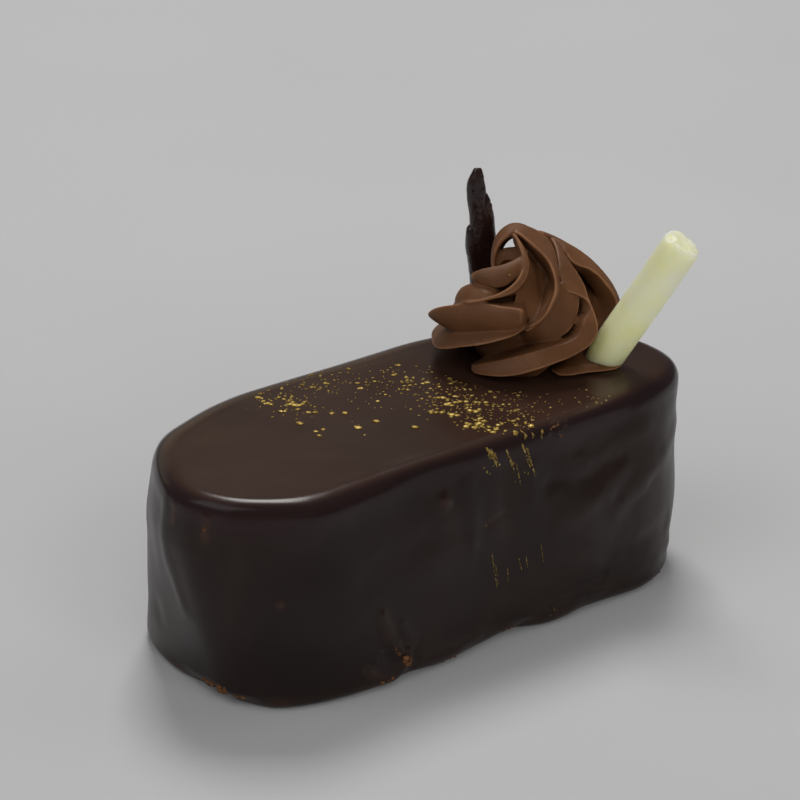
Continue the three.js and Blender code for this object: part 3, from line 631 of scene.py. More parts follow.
def envelope(z):
    return np.interp(z, [0, 3, 5, 8, 12, 16, 20, 24, 26.5, 27.4], [15.5, 18.3, 18.8, 18.6, 17.4, 14.8, 11.2, 6.5, 2.8, 0.3])


def sway(z):
    """How far the middle line of the swirl leans across, at a height."""
    return 1.2 * (z / 27) ** 2


def band(edges, depth, root_up, root_low, bulge=0.25, flank=2.2, ends=(0.06, 0.12), sections=110, seed=0, wander=0.10, sink=0.0, core=None):
    """One ridge: its outer face lies between two edge lines, and hollow flanks run in to its root."""
    U, L = np.array(edges[0], float), np.array(edges[1], float)
    both = spline(np.hstack([(U + L) / 2, U, L]), sections)
    M, U, L = both[:, :3], both[:, 3:6], both[:, 6:9]
    jitter = wander * np.column_stack([value_noise(M + 31 * k, 4.5, 40 + 7 * seed + k) for k in range(3)])
    U, L = U + jitter, L + jitter + 0.5 * wander * np.column_stack([value_noise(M + 53 * k, 3.0, 90 + 7 * seed + k) for k in range(3)])
    M = (U + L) / 2
    s = np.linspace(0, 1, sections)
    root_up = np.interp(s, np.linspace(0, 1, len(root_up)), root_up) if isinstance(root_up, (list, tuple)) else np.full(sections, root_up)
    root_low = np.interp(s, np.linspace(0, 1, len(root_low)), root_low) if isinstance(root_low, (list, tuple)) else np.full(sections, root_low)
    taper = np.minimum(smooth(s / max(ends[0], 1e-3)), smooth((1 - s) / max(ends[1], 1e-3)))
    taper = np.sqrt(np.clip(taper, 0.0, 1))
    flank_low, flank_up = flank if isinstance(flank, tuple) else (flank, flank)
    f = np.linspace(0, 1, 10)[1:]
    face = np.linspace(0, 1, 7)
    rings = []
    for k in range(sections):
        z = M[k, 2]
        c = np.array([sway(z), 0.0, min(max(z - 3.0, 0.6), 12.0)]) if core is None else np.array(core, float)
        inward = c - M[k]
        inward[2] -= sink
        room = np.linalg.norm(inward)
        inward /= room
        across = U[k] - L[k]
        w = np.linalg.norm(across)
        across = across - inward * (across @ inward)
        across /= max(1e-9, np.linalg.norm(across))
        d = min(depth, room * 0.96)
        g = 0.12 + 0.88 * taper[k]
        low = [L[k] + inward * (d * t) - across * (root_low[k] * g * t ** flank_low) for t in f]
        high = [U[k] + inward * (d * t) + across * (root_up[k] * g * t ** flank_up) for t in f]
        front = [mix(L[k], U[k], t) - inward * (bulge * 4 * t * (1 - t) * taper[k]) for t in face]
        ring = np.array(low[::-1] + front + high)
        # towards an end the whole section closes on a point inside the swirl
        heart = M[k] + inward * (0.45 * d)
        rings.append(heart + (ring - heart) * (0.10 + 0.90 * taper[k]))
    V = np.array(rings).reshape(-1, 3)
    V[:, 2] = np.maximum(V[:, 2], -0.25)
    return placed(V), ring_faces(sections, len(rings[0]), close_low=True, close_high=True)


def ribbon(points, thick, wide, n=16):
    P = spline(np.column_stack([points, thick, wide]), 70)
    C, a, b = P[:, :3], P[:, 3], P[:, 4]
    T = np.gradient(C, axis=0)
    T /= np.linalg.norm(T, axis=1)[:, None]
    rings = []
    for k in range(len(C)):
        deep = np.array([0.0, 1.0, 0.0]) - T[k] * T[k][1]
        deep /= np.linalg.norm(deep)
        side = np.cross(T[k], deep)
        t = np.linspace(0, 2 * math.pi, n, endpoint=False)
        rings.append(C[k] + a[k] * np.outer(np.sign(np.cos(t)) * np.abs(np.cos(t)) ** 0.8, side) + b[k] * np.outer(np.sin(t), deep))
    return placed(np.array(rings).reshape(-1, 3)), ring_faces(len(C), n, close_low=True, close_high=True)


def core_dome():
    """What lies at the bottom of the flutes: lower at the back left, where the tail curls over."""
    n, zs = 60, np.linspace(0, 21.0, 26)
    t = np.linspace(0, 2 * math.pi, n, endpoint=False)
    away = np.cos(t + math.radians(135.0)) * 0.5 + 0.5
    rings = []
    for z in zs:
        r = max(0.5, envelope(z + 1.0) - np.interp(z, [0, 4, 10, 21], [7.0, 8.4, 7.6, 5.8]))
        back = max(0.5, np.interp(z, [0, 4, 10, 14, 18, 21], [11.5, 10.0, 7.0, 4.0, 2.0, 0.5]))
        rr = mix(r, min(r, back), smooth(away * 1.4 - 0.2))
        rings.append(np.column_stack([sway(z) + rr * np.cos(t), rr * np.sin(t), np.full(n, z)]))
    rings = [r[::-1] for r in rings]
    return placed(np.array(rings).reshape(-1, 3)), ring_faces(len(zs), n, close_low=True, close_high=True)


def join_parts(name, parts, mat):
    verts, faces, k = [], [], 0
    for V, F in parts:
        verts.append(V)
        faces += [tuple(i + k for i in f) for f in F]
        k += len(V)
    obj = mesh_object(name, np.vstack(verts), faces, mat)
    import bmesh
    bm = bmesh.new()
    bm.from_mesh(obj.data)
    bmesh.ops.recalc_face_normals(bm, faces=bm.faces)
    bm.to_mesh(obj.data)
    bm.free()
    return obj


def apply_modifiers(obj):
    dg = bpy.context.evaluated_depsgraph_get()
    mesh = bpy.data.meshes.new_from_object(obj.evaluated_get(dg))
    obj.modifiers.clear()
    old = obj.data
    obj.data = mesh
    bpy.data.meshes.remove(old)
    obj.data.polygons.foreach_set("use_smooth", [True] * len(obj.data.polygons))
    obj.data.update()


def one_skin(obj):
    """Keeps the one closed skin of a rebuilt mesh: chips left inside or beside it go, pinholes are closed."""
    import bmesh
    bm = bmesh.new()
    bm.from_mesh(obj.data)
    bmesh.ops.triangulate(bm, faces=bm.faces)
    for _ in range(2):
        bmesh.ops.dissolve_degenerate(bm, dist=2e-7, edges=bm.edges)
        seen, twins = set(), []
        for f in bm.faces:
            key = frozenset(v.index for v in f.verts)
            if key in seen:
                twins.append(f)
            seen.add(key)
        bmesh.ops.delete(bm, geom=twins, context="FACES_ONLY")
        bm.faces.index_update()
        bm.faces.ensure_lookup_table()
        bm.verts.index_update()
        label, groups = [-1] * len(bm.faces), []
        for f in bm.faces:
            if label[f.index] >= 0:
                continue
            label[f.index] = len(groups)
            group, stack = [], [f]
            while stack:
                g = stack.pop()
                group.append(g)
                for e in g.edges:
                    if len(e.link_faces) == 2:
                        for h in e.link_faces:
                            if label[h.index] < 0:
                                label[h.index] = len(groups)
                                stack.append(h)
            groups.append(group)
        groups.sort(key=len)
        bmesh.ops.delete(bm, geom=[f for g in groups[:-1] for f in g], context="FACES")
        bmesh.ops.delete(bm, geom=[v for v in bm.verts if not v.link_faces], context="VERTS")
        open_edges = [e for e in bm.edges if len(e.link_faces) == 1]
        if open_edges:
            bmesh.ops.holes_fill(bm, edges=open_edges, sides=0)
            bmesh.ops.triangulate(bm, faces=bm.faces)
        bm.verts.index_update()
    bm.to_mesh(obj.data)
    bm.free()
    obj.data.validate()
    obj.data.polygons.foreach_set("use_smooth", [True] * len(obj.data.polygons))
    obj.data.update()


def remeshed(obj, voxel_mm, smooth_steps=4, keep=1.0):
    m = obj.modifiers.new("voxels", "REMESH")
    m.mode = "VOXEL"
    m.voxel_size = voxel_mm * MM
    m.use_smooth_shade = True
    s = obj.modifiers.new("soften", "SMOOTH")
    s.factor = 0.5
    s.iterations = smooth_steps
    if keep < 1:
        d = obj.modifiers.new("fewer", "DECIMATE")
        d.ratio = keep
    apply_modifiers(obj)


def shade_and_highlight_masks(obj, reach=8.5, rays=14):
    """How enclosed each point of the surface is, kept as an attribute for the painted shade in the flutes: 0 outside, 1
    deep in a flute.
    """
    tree = surface_of(obj)
    P = points_of(obj)
    count = len(P)
    N = np.empty(count * 3)
    obj.data.vertices.foreach_get("normal", N)
    N = N.reshape(-1, 3)
    k = np.arange(rays) + 0.5
    r, turn = np.sqrt(k / rays), k * math.pi * (3 - math.sqrt(5))
    local = np.column_stack([r * np.cos(turn), r * np.sin(turn), np.sqrt(1 - k / rays)])
    aid = np.where(np.abs(N[:, 2:3]) < 0.9, [[0.0, 0.0, 1.0]], [[1.0, 0.0, 0.0]])
    t = np.cross(aid, N)
    t /= np.maximum(np.linalg.norm(t, axis=1)[:, None], 1e-9)
    b = np.cross(N, t)
    shut = np.zeros(count)
    starts = (P + N * 0.25).tolist()
    for x, y, z in local:
        D = (t * x + b * y + N * z).tolist()
        for i in range(count):
            d = tree.ray_cast(starts[i], D[i], reach)[3]
            if d is not None:
                shut[i] += 1 - d / reach
    shut /= rays
    E = np.empty(len(obj.data.edges) * 2, np.int32)
    obj.data.edges.foreach_get("vertices", E)
    a, c = E[0::2], E[1::2]
    near = np.bincount(a, minlength=count) + np.bincount(c, minlength=count)
    for _ in range(6):
        total = np.bincount(a, shut[c], count) + np.bincount(c, shut[a], count)
        shut = 0.4 * shut + 0.6 * total / np.maximum(near, 1)
    layer = obj.data.attributes.new("painted_groove_shade", "FLOAT", "POINT")
    layer.data.foreach_set("value", smooth((shut - 0.28) / 0.42).astype(np.float32))
    # how sharply the surface turns outward, kept for the painted highlight along the edges: 1 along the drawn-out edges
    step = P[c] - P[a]
    far = np.maximum(np.linalg.norm(step, axis=1), 1e-6)
    at_a, at_c = -(step * N[a]).sum(1) / far ** 2, (step * N[c]).sum(1) / far ** 2
    turned = (np.bincount(a, at_a, count) + np.bincount(c, at_c, count)) / np.maximum(near, 1)
    turned = np.clip(turned, -1.5, 1.5)
    for _ in range(5):
        total = np.bincount(a, turned[c], count) + np.bincount(c, turned[a], count)
        turned = 0.4 * turned + 0.6 * total / np.maximum(near, 1)
    patchy = 0.85 + 0.25 * value_noise(P, 2.4, 81)
    crest_highlight = smooth((turned - 0.16) / 0.40) * patchy
    layer = obj.data.attributes.new("crest_highlight", "FLOAT", "POINT")
    layer.data.foreach_set("value", np.clip(crest_highlight, 0, 1).astype(np.float32))


def build_swirl():
    parts = [core_dome()]
    parts.append(band(RIDGE_B, 7.0, [1.0, 1.2, 1.5, 2.6, 2.8, 2.4, 2.8, 3.2], [-0.6, -2.5, -4.0, -4.0, -2.5, -1.4, -1.2, -1.2, -1.0, -0.4, 0.6, 1.6, 2.0, 2.6, 3.0], flank=(1.2, 2.2), seed=1, ends=(0.015, 0.12)))
    parts.append(band(FILL_B, 4.0, 0.3, 0.3, seed=17, ends=(0.05, 0.02), bulge=-0.5, wander=0.04))
    parts.append(band(RIDGE_A, 7.0, [1.2, 1.0, 0.4, 0.0, 0.0, 0.3, 0.3, 1.2, 2.4], [0.4, -0.6, -0.6, 0.0, 1.0, 2.2, 3.0, 3.2, 3.2], seed=2, ends=(0.015, 0.08)))
    parts.append(band(RIDGE_F, 6.0, [1.0, 1.2, 1.2, 1.4, 1.6, 1.6, 2.4, 3.0], [0.4, 0.5, 0.7, 1.4, 2.2, 2.4, 2.6, 2.8], seed=3, ends=(0.015, 0.12)))
    parts.append(band(LOBE_D, 5.0, 1.8, 1.8, bulge=0.7, seed=13, ends=(0.25, 0.30)))
    parts.append(band(RIDGE_K, 4.2, [1.5, 2.0, 2.5, 2.8, 3.0, 2.0], [-1.0, -3.4, -4.4, -3.4, 0.3, 1.0], flank=(1.1, 2.2), seed=4, ends=(0.015, 0.12)))
    parts.append(band(RIDGE_L, 6.5, 3.0, 1.6, seed=6, ends=(0.02, 0.12)))
    parts.append(band(RIDGE_M, 5.5, [0.4, 0.6, 0.6, 0.2], [0.5, 1.0, 1.2, 1.6], seed=5, ends=(0.02, 0.25), bulge=0.35))
    parts.append(band(FILL_K, 5.0, 0.4, 1.0, seed=16, ends=(0.03, 0.08), bulge=-0.7, wander=0.05))
    parts.append(band(RIDGE_N, 6.5, 3.0, 1.6, seed=7, ends=(0.02, 0.12)))
    parts.append(band(RIDGE_O, 6.0, 2.8, 1.6, seed=8, ends=(0.05, 0.12)))
    parts.append(band(RIDGE_P, 5.5, 2.8, 1.8, seed=9, ends=(0.10, 0.12)))
    parts.append(band(LEAF_C, 6.0, 1.5, 0.9, bulge=1.0, seed=11, ends=(0.08, 0.10), wander=0.06))
    parts.append(band(LEAF_E, 4.6, 1.0, 0.8, bulge=0.9, seed=12, ends=(0.06, 0.10), wander=0.06))
    parts.append(band(TONGUE, 3.6, 0.2, 1.5, bulge=0.3, seed=15, ends=(0.15, 0.10), wander=0.05, core=(-2.0, -1.0, 17.5)))
    parts.append(band(SKIRT, 7.0, 0.8, 0.6, bulge=0.30, seed=14, ends=(0.22, 0.12), core=(11.5, 3.0, 1.2), wander=0.04))
    parts.append(ribbon(HOOK, [0.7, 0.8, 0.95, 1.0, 0.95, 0.88, 0.8, 0.72, 0.66, 0.55, 0.4], [0.8, 1.2, 1.8, 2.4, 2.7, 2.6, 2.4, 2.1, 1.7, 1.2, 0.7]))
    parts.append(ribbon(HOOK_BACK, [0.8, 0.9, 0.9, 0.85, 0.75, 0.6, 0.45], [0.9, 1.2, 1.4, 1.4, 1.3, 1.1, 0.7]))
    obj = join_parts("piped_ganache", parts, GANACHE)
    remeshed(obj, 0.16, 14, 0.25)
    one_skin(obj)
    shade_and_highlight_masks(obj)
    return obj


# ======================================================================== the sticks

def build_white_stick():
    foot, tip = np.array([41.7, -8.2, 42.3]), np.array([50.1, -21.5, 70.0])
    axis = tip - foot
    length = np.linalg.norm(axis)
    axis /= length
    side = np.cross([0, 0, 1.0], axis)
    side /= np.linalg.norm(side)
    up = np.cross(axis, side)
    n, levels = 96, 110
    t = np.linspace(0, 2 * math.pi, n, endpoint=False)
    rings = []
    for s in np.linspace(0, 1, levels):
        r = 3.84 + 0.05 * np.sin(3 * t + 2 * s) - 0.45 * smooth((0.10 - s) / 0.10)
        # the lap of the outer leaf, a shallow step that winds slowly along the roll
        lap = ((t - 1.1 - 0.5 * s) % (2 * math.pi)) / (2 * math.pi)
        r = r + 0.16 * np.exp(-lap * 9) - 0.06
        end = (1 - s) * length
        r = r - 0.42 * np.clip(1 - end / 0.9, 0, 1) ** 2 - 0.22 * smooth((2.6 - end) / 2.4) * (0.5 + np.sin(2 * t + 2.2) * 0.5 + 0.35 * np.sin(7 * t + 1.1))
        p = foot + axis * (length * s)
        ring = p + np.outer(r * np.cos(t), side) + np.outer(r * np.sin(t), up)
        rings.append(ring)
    R = np.array(rings)
    # a snapped end: the last millimetres are pulled to an uneven, slanting break
    cap = []
    for q in (0.95, 0.88, 0.8, 0.7, 0.6, 0.48, 0.36, 0.22, 0.1):
        cap.append(R[-1].mean(0) + (R[-1] - R[-1].mean(0)) * q)
    V = np.vstack([R.reshape(-1, 3), np.array(cap).reshape(-1, 3)])
    along = (V - foot) @ axis
    near = smooth((along - (length - 2.5)) / 2.5)
    rough = 0.50 * value_noise(V, 2.6, 21) + 0.20 * value_noise(V, 0.8, 22) - 0.55 * smooth((value_noise(V, 1.3, 23) - 0.35) / 0.3)
    V = V + axis * (near * rough)[:, None]
    out = V - foot - np.outer(along, axis)
    V = V + out * (near * (0.035 * value_noise(V, 1.6, 24) + 0.020 * value_noise(V, 0.7, 28)))[:, None]
    V = V + (np.column_stack([value_noise(V + 9 * k, 4.0, 25 + k) for k in range(3)]) * 0.05)
    V[:, 2] = np.maximum(V[:, 2], 42.1)
    F = ring_faces(levels + 9, n, close_low=True, close_high=True)
    return mesh_object("white_roll", V, F, WHITE)


# The dark roll: leaves of chocolate one over another. Each leaf is a run of
# (share of the height, left edge, right edge, depth) in millimetres from the roll's line.
DARK_LEAVES = [
    [(0.00, -2.2, 1.2, 1.6), (0.60, -2.3, 1.2, 1.6), (0.80, -2.5, 1.22, 1.5), (0.87, -2.48, 1.2, 1.35), (0.90, -2.38, 1.15, 1.25), (0.925, -2.1, 1.12, 1.15), (0.945, -1.75, 1.08, 1.0), (0.967, -1.42, 0.97, 0.9), (0.985, -1.15, 0.88, 0.75), (1.00, -0.75, 0.65, 0.5)],
    [(0.00, -0.4, 2.6, 1.9), (0.30, -0.4, 2.7, 1.9), (0.50, -0.4, 2.8, 1.8), (0.667, -0.4, 2.77, 1.7), (0.733, -0.3, 2.46, 1.5), (0.78, -0.2, 2.2, 1.3), (0.81, 0.0, 1.85, 1.05), (0.835, 0.3, 1.5, 0.7)],
    [(0.00, -2.8, 0.6, 1.9), (0.30, -2.95, 0.6, 1.9), (0.38, -3.15, 0.6, 1.9), (0.467, -3.45, 0.5, 1.8), (0.53, -3.35, 0.4, 1.7), (0.585, -3.2, 0.2, 1.5), (0.61, -3.0, 0.0, 1.2), (0.63, -2.6, -0.4, 0.7)],
    [(0.20, -1.8, 1.3, 1.4), (0.45, -1.9, 1.3, 1.6), (0.65, -1.7, 1.3, 1.5), (0.80, -1.5, 0.9, 1.3), (0.88, -1.2, 0.6, 1.0), (0.91, -0.8, 0.2, 0.6)],
]


def build_dark_stick():
    foot, tip = np.array([33.75, 17.15, 45.0]), np.array([31.05, 18.05, 77.9])
    right, away = np.array([0.775, -0.632, 0]), np.array([0.632, 0.775, 0])
    parts = []
    n = 48
    t = np.linspace(0, 2 * math.pi, n, endpoint=False)
    for j, leaf in enumerate(DARK_LEAVES):
        L = np.array(leaf, float)
        rings = []
        for h in np.linspace(L[0, 0], L[-1, 0], 90):
            lo, hi, deep = [np.interp(h, L[:, 0], L[:, c]) for c in (1, 2, 3)]
            c = mix(foot, tip, h) + right * (lo + hi) / 2 + away * (0.0, 0.25, -0.15, -0.4)[j]
            half = (hi - lo) / 2 * (1 + 0.03 * math.sin(17 * h + 2 * j))
            ring = c + np.outer(half * np.sign(np.cos(t)) * np.abs(np.cos(t)) ** 0.85, right) + np.outer(deep * (1 + 0.07 * np.sin(3 * t + j)) * np.sin(t), away)
            rings.append(ring)
        V = np.array(rings).reshape(-1, 3)
        parts.append((V, ring_faces(90, n, close_low=True, close_high=True)))
    obj = join_parts("dark_roll", parts, DARK)
    remeshed(obj, 0.15, 3)
    P = points_of(obj)
    N = np.empty(len(P) * 3)
    obj.data.vertices.foreach_get("normal", N)
    N = N.reshape(-1, 3)
    d = 0.10 * value_noise(P * [1, 1, 0.55], 1.3, 31) + 0.045 * value_noise(P * [1, 1, 0.7], 0.55, 32)
    pits = smooth((value_noise(P, 0.85, 33) - 0.55) / 0.25)
    P = P + N * (d - 0.16 * pits)[:, None]
    P[:, 2] = np.minimum(P[:, 2], 77.98)
    obj.data.vertices.foreach_set("co", (P * MM).ravel())
    obj.data.update()
    return obj


# ======================================================================== gold dust and crumbs
# Each speck is a small closed flake of true size, pressed a little into what it lies on.
def sphere_points(level):
    import bmesh
    bm = bmesh.new()
    bmesh.ops.create_icosphere(bm, subdivisions=level, radius=1.0)
    V = np.array([v.co[:] for v in bm.verts])
    F = [tuple(v.index for v in f.verts) for f in bm.faces]
    bm.free()
    return V, F


ICO = {1: sphere_points(1), 2: sphere_points(2), 3: sphere_points(3)}


def surface_of(obj):
    from mathutils.bvhtree import BVHTree
    co = points_of(obj)
    return BVHTree.FromPolygons([Vector(v) for v in co], [tuple(p.vertices) for p in obj.data.polygons])


def flake(tree, at, size, rng, long=1.0, along=None, level=1, thick=0.30, ragged=0.28):
    hit, normal, _, _ = tree.find_nearest(Vector(at))
    hit, n = np.array(hit), np.array(normal)
    a = np.array(along if along is not None else rng.normal(size=3), float)
    a -= n * (a @ n)
    a /= np.linalg.norm(a)
    b = np.cross(n, a)
    V, F = ICO[level]
    r = size / 2
    wob = 1 + ragged * rng.uniform(-1, 1, len(V))
    flat = max(0.05, r * thick)
    P = hit + n * (flat * 0.35) + (V[:, :1] * wob[:, None]) * a * r * long + (V[:, 1:2] * wob[:, None]) * b * r / math.sqrt(long) + V[:, 2:3] * n * flat
    return P, F


def streak(tree, top, low, width, rng):
    """A smear of dust down the wall: overlapping flakes drawn out along it, thicker at its upper end."""
    top, low = np.array(top), np.array(low)
    run = low - top
    length = np.linalg.norm(run)
    parts = []
    for k in range(int(3 + length * (3.2 + 8 * width))):
        t = rng.uniform(0, 1) ** 1.3
        spread = width * (0.30 + 0.70 * math.sin(math.pi * min(1.0, 0.15 + 0.85 * t)))
        at = mix(top, low, t) + np.array([rng.normal(scale=0.26 * spread), 0, rng.normal(scale=0.15)])
        parts.append(flake(tree, at, float(rng.uniform(0.07, 0.15) + 0.32 * width * rng.uniform(0.2, 1) * (1 - 0.7 * t)), rng, long=rng.uniform(1.6, 3.4), along=run + rng.normal(scale=0.08 * length, size=3), level=1, thick=0.25))
    return parts


# (x, y, size) of the larger grains on the top
GRAINS = [
    (1.1, -15.1, 1.1), (2.3, -14.9, 1.0), (2.0, -16.4, 1.1), (4.0, -15.6, 1.2), (5.4, -15.4, 1.1), (5.8, -14.0, 0.8), (3.4, -19.2, 0.9), (3.4, -20.3, 1.0), (4.9, -19.7, 1.0),
    (6.3, -18.4, 0.8), (0.3, -5.8, 1.0), (0.7, -6.7, 0.9), (1.7, -7.4, 1.0), (5.5, -4.9, 0.8), (2.6, -9.3, 1.1), (3.1, -10.2, 1.0), (6.6, -9.9, 1.0), (7.2, -10.9, 1.2),
    (8.3, -10.6, 0.8), (5.6, -1.5, 0.9), (6.4, -2.0, 0.9), (4.7, -5.0, 1.0), (5.3, -6.0, 0.9), (6.7, -5.3, 0.9), (7.8, -5.5, 1.0), (8.7, -6.2, 0.9), (10.4, -8.0, 0.8),
    (11.5, -8.8, 0.9), (12.0, 2.3, 0.8), (8.6, 5.4, 1.0), (7.6, 5.5, 0.8), (-6.9, -9.7, 1.3), (9.8, -18.7, 0.8), (9.0, -20.5, 0.8), (7.3, -22.9, 0.9), (7.0, -23.6, 0.7),
    (11.2, -20.9, 0.6), (11.7, -22.6, 0.9), (-22.5, 17.1, 0.8), (-22.5, 15.8, 1.0), (-22.3, 15.1, 0.8), (-22.0, 18.4, 0.6), (-22.3, 19.3, 0.9), (-19.0, 16.9, 0.8),
    (-18.8, 15.5, 0.8), (-19.2, 12.8, 1.0), (-18.9, 12.0, 1.2), (-18.3, 11.5, 0.9), (-18.3, 13.4, 0.9), (-17.4, 11.5, 0.8), (-19.6, 10.1, 0.9), (-22.8, 11.3, 0.9),
    (-22.1, 10.9, 0.7), (-18.8, 7.8, 0.9), (-17.8, 7.1, 0.9), (-15.5, 4.8, 1.0), (-13.5, 3.3, 1.1), (-23.3, 4.7, 1.2), (-23.1, 0.0, 0.8), (-21.5, -0.1, 0.8),
    (-23.8, -1.8, 0.9), (-15.6, -3.3, 1.3), (-11.1, -3.1, 1.1), (-7.7, 16.9, 0.9), (-11.0, 16.9, 0.8), (-3.6, 10.8, 1.0), (-2.6, 13.1, 0.8), (5.6, 12.0, 1.0),
    (9.5, 15.3, 0.8), (-4.9, 4.0, 0.8), (-1.6, 5.7, 0.6), (6.8, 9.8, 0.6), (5.0, 6.3, 0.7), (6.2, 6.0, 0.6), (15.6, -5.3, 0.8), (14.5, -8.0, 0.7), (8.6, -3.0, 0.8),
    (2.8, 0.0, 0.6), (7.2, 2.8, 0.6), (9.2, 2.5, 0.7), (11.5, -4.6, 0.6), (12.5, -1.1, 0.5), (13.9, 1.5, 0.5), (13.5, -11.5, 0.6), (18.7, -10.0, 0.7)]
# Fine dust: (x, y, spread one way, spread the other, turn in degrees, how many, size)
DUST = [
    (-18.8, 13.5, 3.0, 4.4, 20, 52, 0.36), (-19.0, 12.3, 1.5, 2.0, 0, 20, 0.50), (-12.5, 17.5, 6.0, 3.6, -35, 56, 0.32), (-4.0, 14.0, 6.5, 4.2, -30, 80, 0.35),
    (3.0, 8.5, 5.0, 5.0, 0, 64, 0.36), (8.0, 1.0, 4.0, 6.0, -10, 84, 0.40), (5.6, -5.0, 2.8, 3.0, 0, 34, 0.50), (4.0, -11.0, 3.2, 4.2, 0, 26, 0.40),
    (3.6, -15.6, 1.6, 1.0, 0, 14, 0.70), (5.0, -18.4, 1.8, 1.6, 0, 14, 0.60), (12.0, -7.0, 3.6, 6.5, -25, 80, 0.36), (12.0, -18.0, 3.0, 2.6, 0, 30, 0.34),
    (17.0, -12.0, 3.6, 6.0, -40, 60, 0.30), (25.0, -18.5, 5.0, 2.4, -20, 34, 0.28), (10.5, -20.0, 2.4, 2.2, 0, 18, 0.38), (-14.0, 4.0, 6.0, 5.0, 0, 10, 0.34)]
STREAKS = [
    ((-0.6, -24.4, 41.4), (-0.3, -26.0, 38.8), 0.75), ((0.2, -25.2, 40.4), (1.2, -26.2, 37.0), 1.20), ((3.7, -25.6, 39.9), (4.6, -26.3, 36.4), 0.50), ((4.5, -26.0, 37.4), (5.0, -26.3, 35.4), 0.80),
    ((7.6, -25.8, 40.1), (9.2, -26.3, 34.8), 0.55), ((8.8, -26.0, 38.6), (10.3, -26.4, 33.2), 0.58), ((5.7, -26.4, 36.6), (6.6, -26.3, 31.6), 0.26), ((13.1, -24.2, 41.6), (12.6, -25.6, 40.2), 0.70),
    ((9.0, -23.8, 41.8), (8.6, -25.0, 41.0), 0.70), ((10.6, -24.4, 41.6), (10.5, -25.4, 40.7), 0.40),
    ((-0.2, -25.7, 18.8), (1.3, -25.8, 11.9), 0.30), ((3.7, -25.7, 15.0), (3.9, -25.8, 12.0), 0.16), ((6.2, -25.9, 17.0), (7.0, -26.0, 14.0), 0.12),
    ((8.0, -26.1, 16.4), (8.6, -26.2, 12.9), 0.12), ((11.3, -26.4, 18.6), (12.0, -26.6, 14.4), 0.10), ((0.8, -25.8, 16.5), (1.6, -25.8, 12.5), 0.12)]
WALL_GRAINS = [(-1.9, -26.2, 37.6, 0.35), (-1.2, -26.3, 36.6, 0.45), (-0.5, -26.3, 36.1, 0.32), (0.3, -26.3, 37.4, 0.25), (1.9, -26.3, 37.2, 0.5), (8.4, -26.4, 33.9, 0.4), (7.6, -26.4, 34.3, 0.3),
               (5.2, -26.3, 33.0, 0.25), (9.6, -26.4, 35.6, 0.2), (1.0, -26.0, 39.8, 0.3), (3.9, -26.0, 39.6, 0.22), (-1.8, -25.9, 26.0, 0.30), (15.0, -26.9, 3.4, 0.35), (14.2, -26.9, 2.4, 0.25)]


def build_gold(cake, swirl):
    rng = np.random.default_rng(11)
    tree, piped = surface_of(cake), surface_of(swirl)
    parts = []
    for x, y, size in GRAINS:
        for k in range(2):
            off = rng.normal(scale=0.20 * size, size=2)
            parts.append(flake(tree, (x + off[0] * k, y + off[1] * k, 43), size * (1.08 if k == 0 else 0.75), rng, long=rng.uniform(0.9, 1.25), along=ACROSS + rng.normal(scale=0.4, size=3), level=2, thick=0.30))
    for x, y, sx, sy, turn, count, size in DUST:
        c, s = math.cos(math.radians(turn)), math.sin(math.radians(turn))
        for _ in range(count):
            u, v = rng.normal(scale=sx), rng.normal(scale=sy)
            px, py = x + u * c - v * s, y + u * s + v * c
            grain = size * float(np.clip(rng.lognormal(0.0, 0.42), 0.4, 2.3))
            if math.hypot(px - SWIRL[0], py - SWIRL[1]) < 20.5 or py < -23.6 or py > 23.4:
                continue
            parts.append(flake(tree, (px, py, 43), grain, rng, long=rng.uniform(1.0, 1.5), level=1, thick=0.34))
    for top, low, width in STREAKS:
        parts += streak(tree, top, low, width, rng)
    for x, y, z, size in WALL_GRAINS:
        parts.append(flake(tree, (x, y, z), size, rng, long=1.4, along=(0.1, 0, 1), level=1, thick=0.25))
    for a, d, z, size in ((-3.6, 10.6, 20.2, 0.42), (-8.6, 16.6, 9.4, 0.36), (-0.2, 18.6, 4.2, 0.32), (2.4, 18.4, 4.9, 0.34)):
        parts.append(flake(piped, placed([(a, d, z)])[0], size, rng, long=1.2, level=1, thick=0.3))
    return join_parts("gold_dust", parts, GOLD)


# Crumbs of the cake caught in the coat: (place, reach, how many, size)
CRUMBS = [
    ((-55.9, -9.0, 2.0), (0.7, 1.8, 0.7), 16, 1.15), ((-55.4, -13.6, 3.0), (0.6, 1.2, 1.1), 12, 1.2), ((-54.0, -17.4, 1.3), (0.9, 1.0, 0.5), 9, 0.9),
    ((-21.7, -27.2, 4.2), (0.8, 0.3, 0.9), 11, 1.0), ((-24.3, -27.1, 7.4), (1.0, 0.3, 0.9), 8, 0.75), ((-27.0, -26.9, 1.7), (2.2, 0.3, 0.4), 9, 0.55),
    ((-11.0, -26.6, 1.0), (2.4, 0.4, 0.4), 7, 0.6), ((6.0, -24.8, 1.0), (2.0, 0.5, 0.5), 6, 0.6), ((45.0, -23.4, 1.4), (3.5, 1.0, 0.5), 7, 0.6),
    ((-58.9, -12.4, 36.4), (0.3, 0.3, 0.9), 3, 0.7), ((16.6, -24.6, 41.4), (1.5, 0.8, 0.3), 12, 0.42), ((17.4, -25.6, 39.6), (0.7, 0.3, 1.0), 5, 0.36), ((20.0, 26.8, 1.4), (6.0, 0.4, 0.5), 8, 0.7), ((-30.0, 24.6, 1.2), (4.0, 1.0, 0.4), 7, 0.7)]


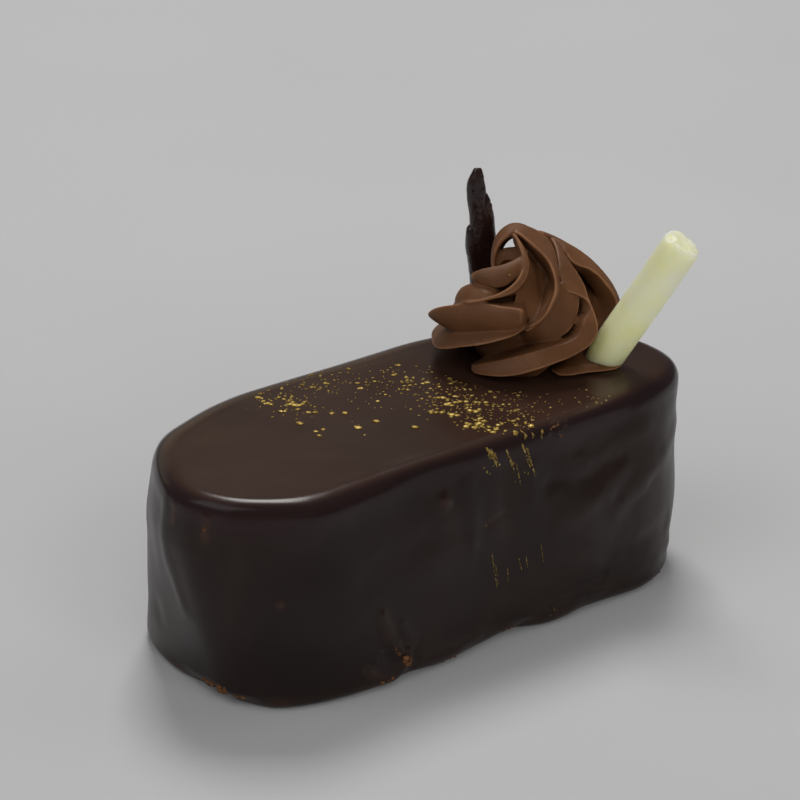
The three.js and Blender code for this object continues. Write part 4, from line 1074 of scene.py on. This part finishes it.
def build_crumbs(cake):
    rng = np.random.default_rng(23)
    tree = surface_of(cake)
    parts = []
    for at, reach, count, size in CRUMBS:
        for _ in range(count):
            p = np.array(at) + rng.normal(size=3) * np.array(reach) * 0.6
            p[2] = max(p[2], 0.45)
            hit, normal, _, _ = tree.find_nearest(Vector(p))
            n = np.array(normal)
            r = size * float(np.clip(rng.lognormal(-0.25, 0.4), 0.3, 1.5)) / 2
            V, F = ICO[3 if r > 0.35 else 2]
            turn = rng.normal(size=3) * 3
            bumps = 1 + 0.34 * value_noise(V * 1.0 + turn, 0.85, 71) + 0.16 * value_noise(V + turn, 0.38, 72)
            stretch = 1 + rng.uniform(-0.25, 0.25, 3)
            P = np.array(hit) - n * r * 0.45 + V * bumps[:, None] * stretch * r
            P[:, 2] = np.maximum(P[:, 2], 0.02)
            parts.append((P, F))
    return join_parts("cake_crumbs", parts, CRUMB)


# ======================================================================== put together
cake = build_cake()
swirl = build_swirl()
white = build_white_stick()
dark = build_dark_stick()
gold = build_gold(cake, swirl)
crumbs = build_crumbs(cake)
for piece in (gold, crumbs):
    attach(piece, "root")
for piece, node, slot in ((cake, "glazed_cake", "glaze"), (swirl, "piped_swirl", "ganache"), (white, "white_stick", "white_chocolate"), (dark, "dark_stick", "dark_chocolate")):
    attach(piece, "root")
    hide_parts(node)

# ======================================================================== floor, light, camera
floor = mesh_object("floor", [(-4000, -4000, 0), (4000, -4000, 0), (4000, 4000, 0), (-4000, 4000, 0)], [(0, 1, 2, 3)], FLOOR, False)


def area_light(name, at, toward, size, power, color=(1, 1, 1), shine=True):
    data = bpy.data.lights.new(name, "AREA")
    data.shape = "RECTANGLE"
    data.size, data.size_y = size
    data.energy = power
    data.color = color
    obj = bpy.data.objects.new(name, data)
    obj.visible_glossy = shine
    obj.location = at
    obj.rotation_mode = "QUATERNION"
    obj.rotation_quaternion = (Vector(toward) - Vector(at)).to_track_quat("-Z", "Y")
    bpy.context.scene.collection.objects.link(obj)
    return obj


area_light("overhead", (0.29, 0.43, 0.95), (0, 0, 0.03), (0.32, 0.38), 5.6, (1.0, 0.985, 0.965))
area_light("key_soft", (-0.82, 0.04, 0.90), (0, 0, 0.03), (1.0, 1.0), 3.5, (0.99, 0.995, 1.0))
area_light("right_fill", (1.05, -0.30, 0.85), (0, 0, 0.03), (0.9, 0.9), 1.6, (1.0, 0.995, 0.985), shine=False)
area_light("front_fill", (-0.30, -1.10, 0.62), (0, 0, 0.03), (1.0, 1.0), 5.4, (1.0, 0.995, 0.985), shine=False)
area_light("back_glow", (0.45, 1.85, 0.55), (0, 0, 0.05), (1.8, 0.6), 1.1, (1.0, 0.84, 0.56))

world = bpy.data.worlds.new("studio")
bpy.context.scene.world = world
world.use_nodes = True
world.node_tree.nodes["Background"].inputs["Color"].default_value = (0.80, 0.81, 0.83, 1)
world.node_tree.nodes["Background"].inputs["Strength"].default_value = 0.12

cam_data = bpy.data.cameras.new("camera")
cam_data.sensor_width = 36
cam_data.lens = 146.84
cam_data.clip_start, cam_data.clip_end = 0.05, 20
camera = bpy.data.objects.new("camera", cam_data)
bpy.context.scene.collection.objects.link(camera)
camera.matrix_world = Matrix((
    (0.77521, 0.24022, -0.58425, -0.36862),
    (-0.63141, 0.32322, -0.70488, -0.44147),
    (0.01952, 0.91533, 0.40224, 0.29496),
    (0, 0, 0, 1),
))
bpy.context.scene.camera = camera
bpy.context.scene.view_settings.view_transform = "Standard"

bpy.context.view_layer.update()
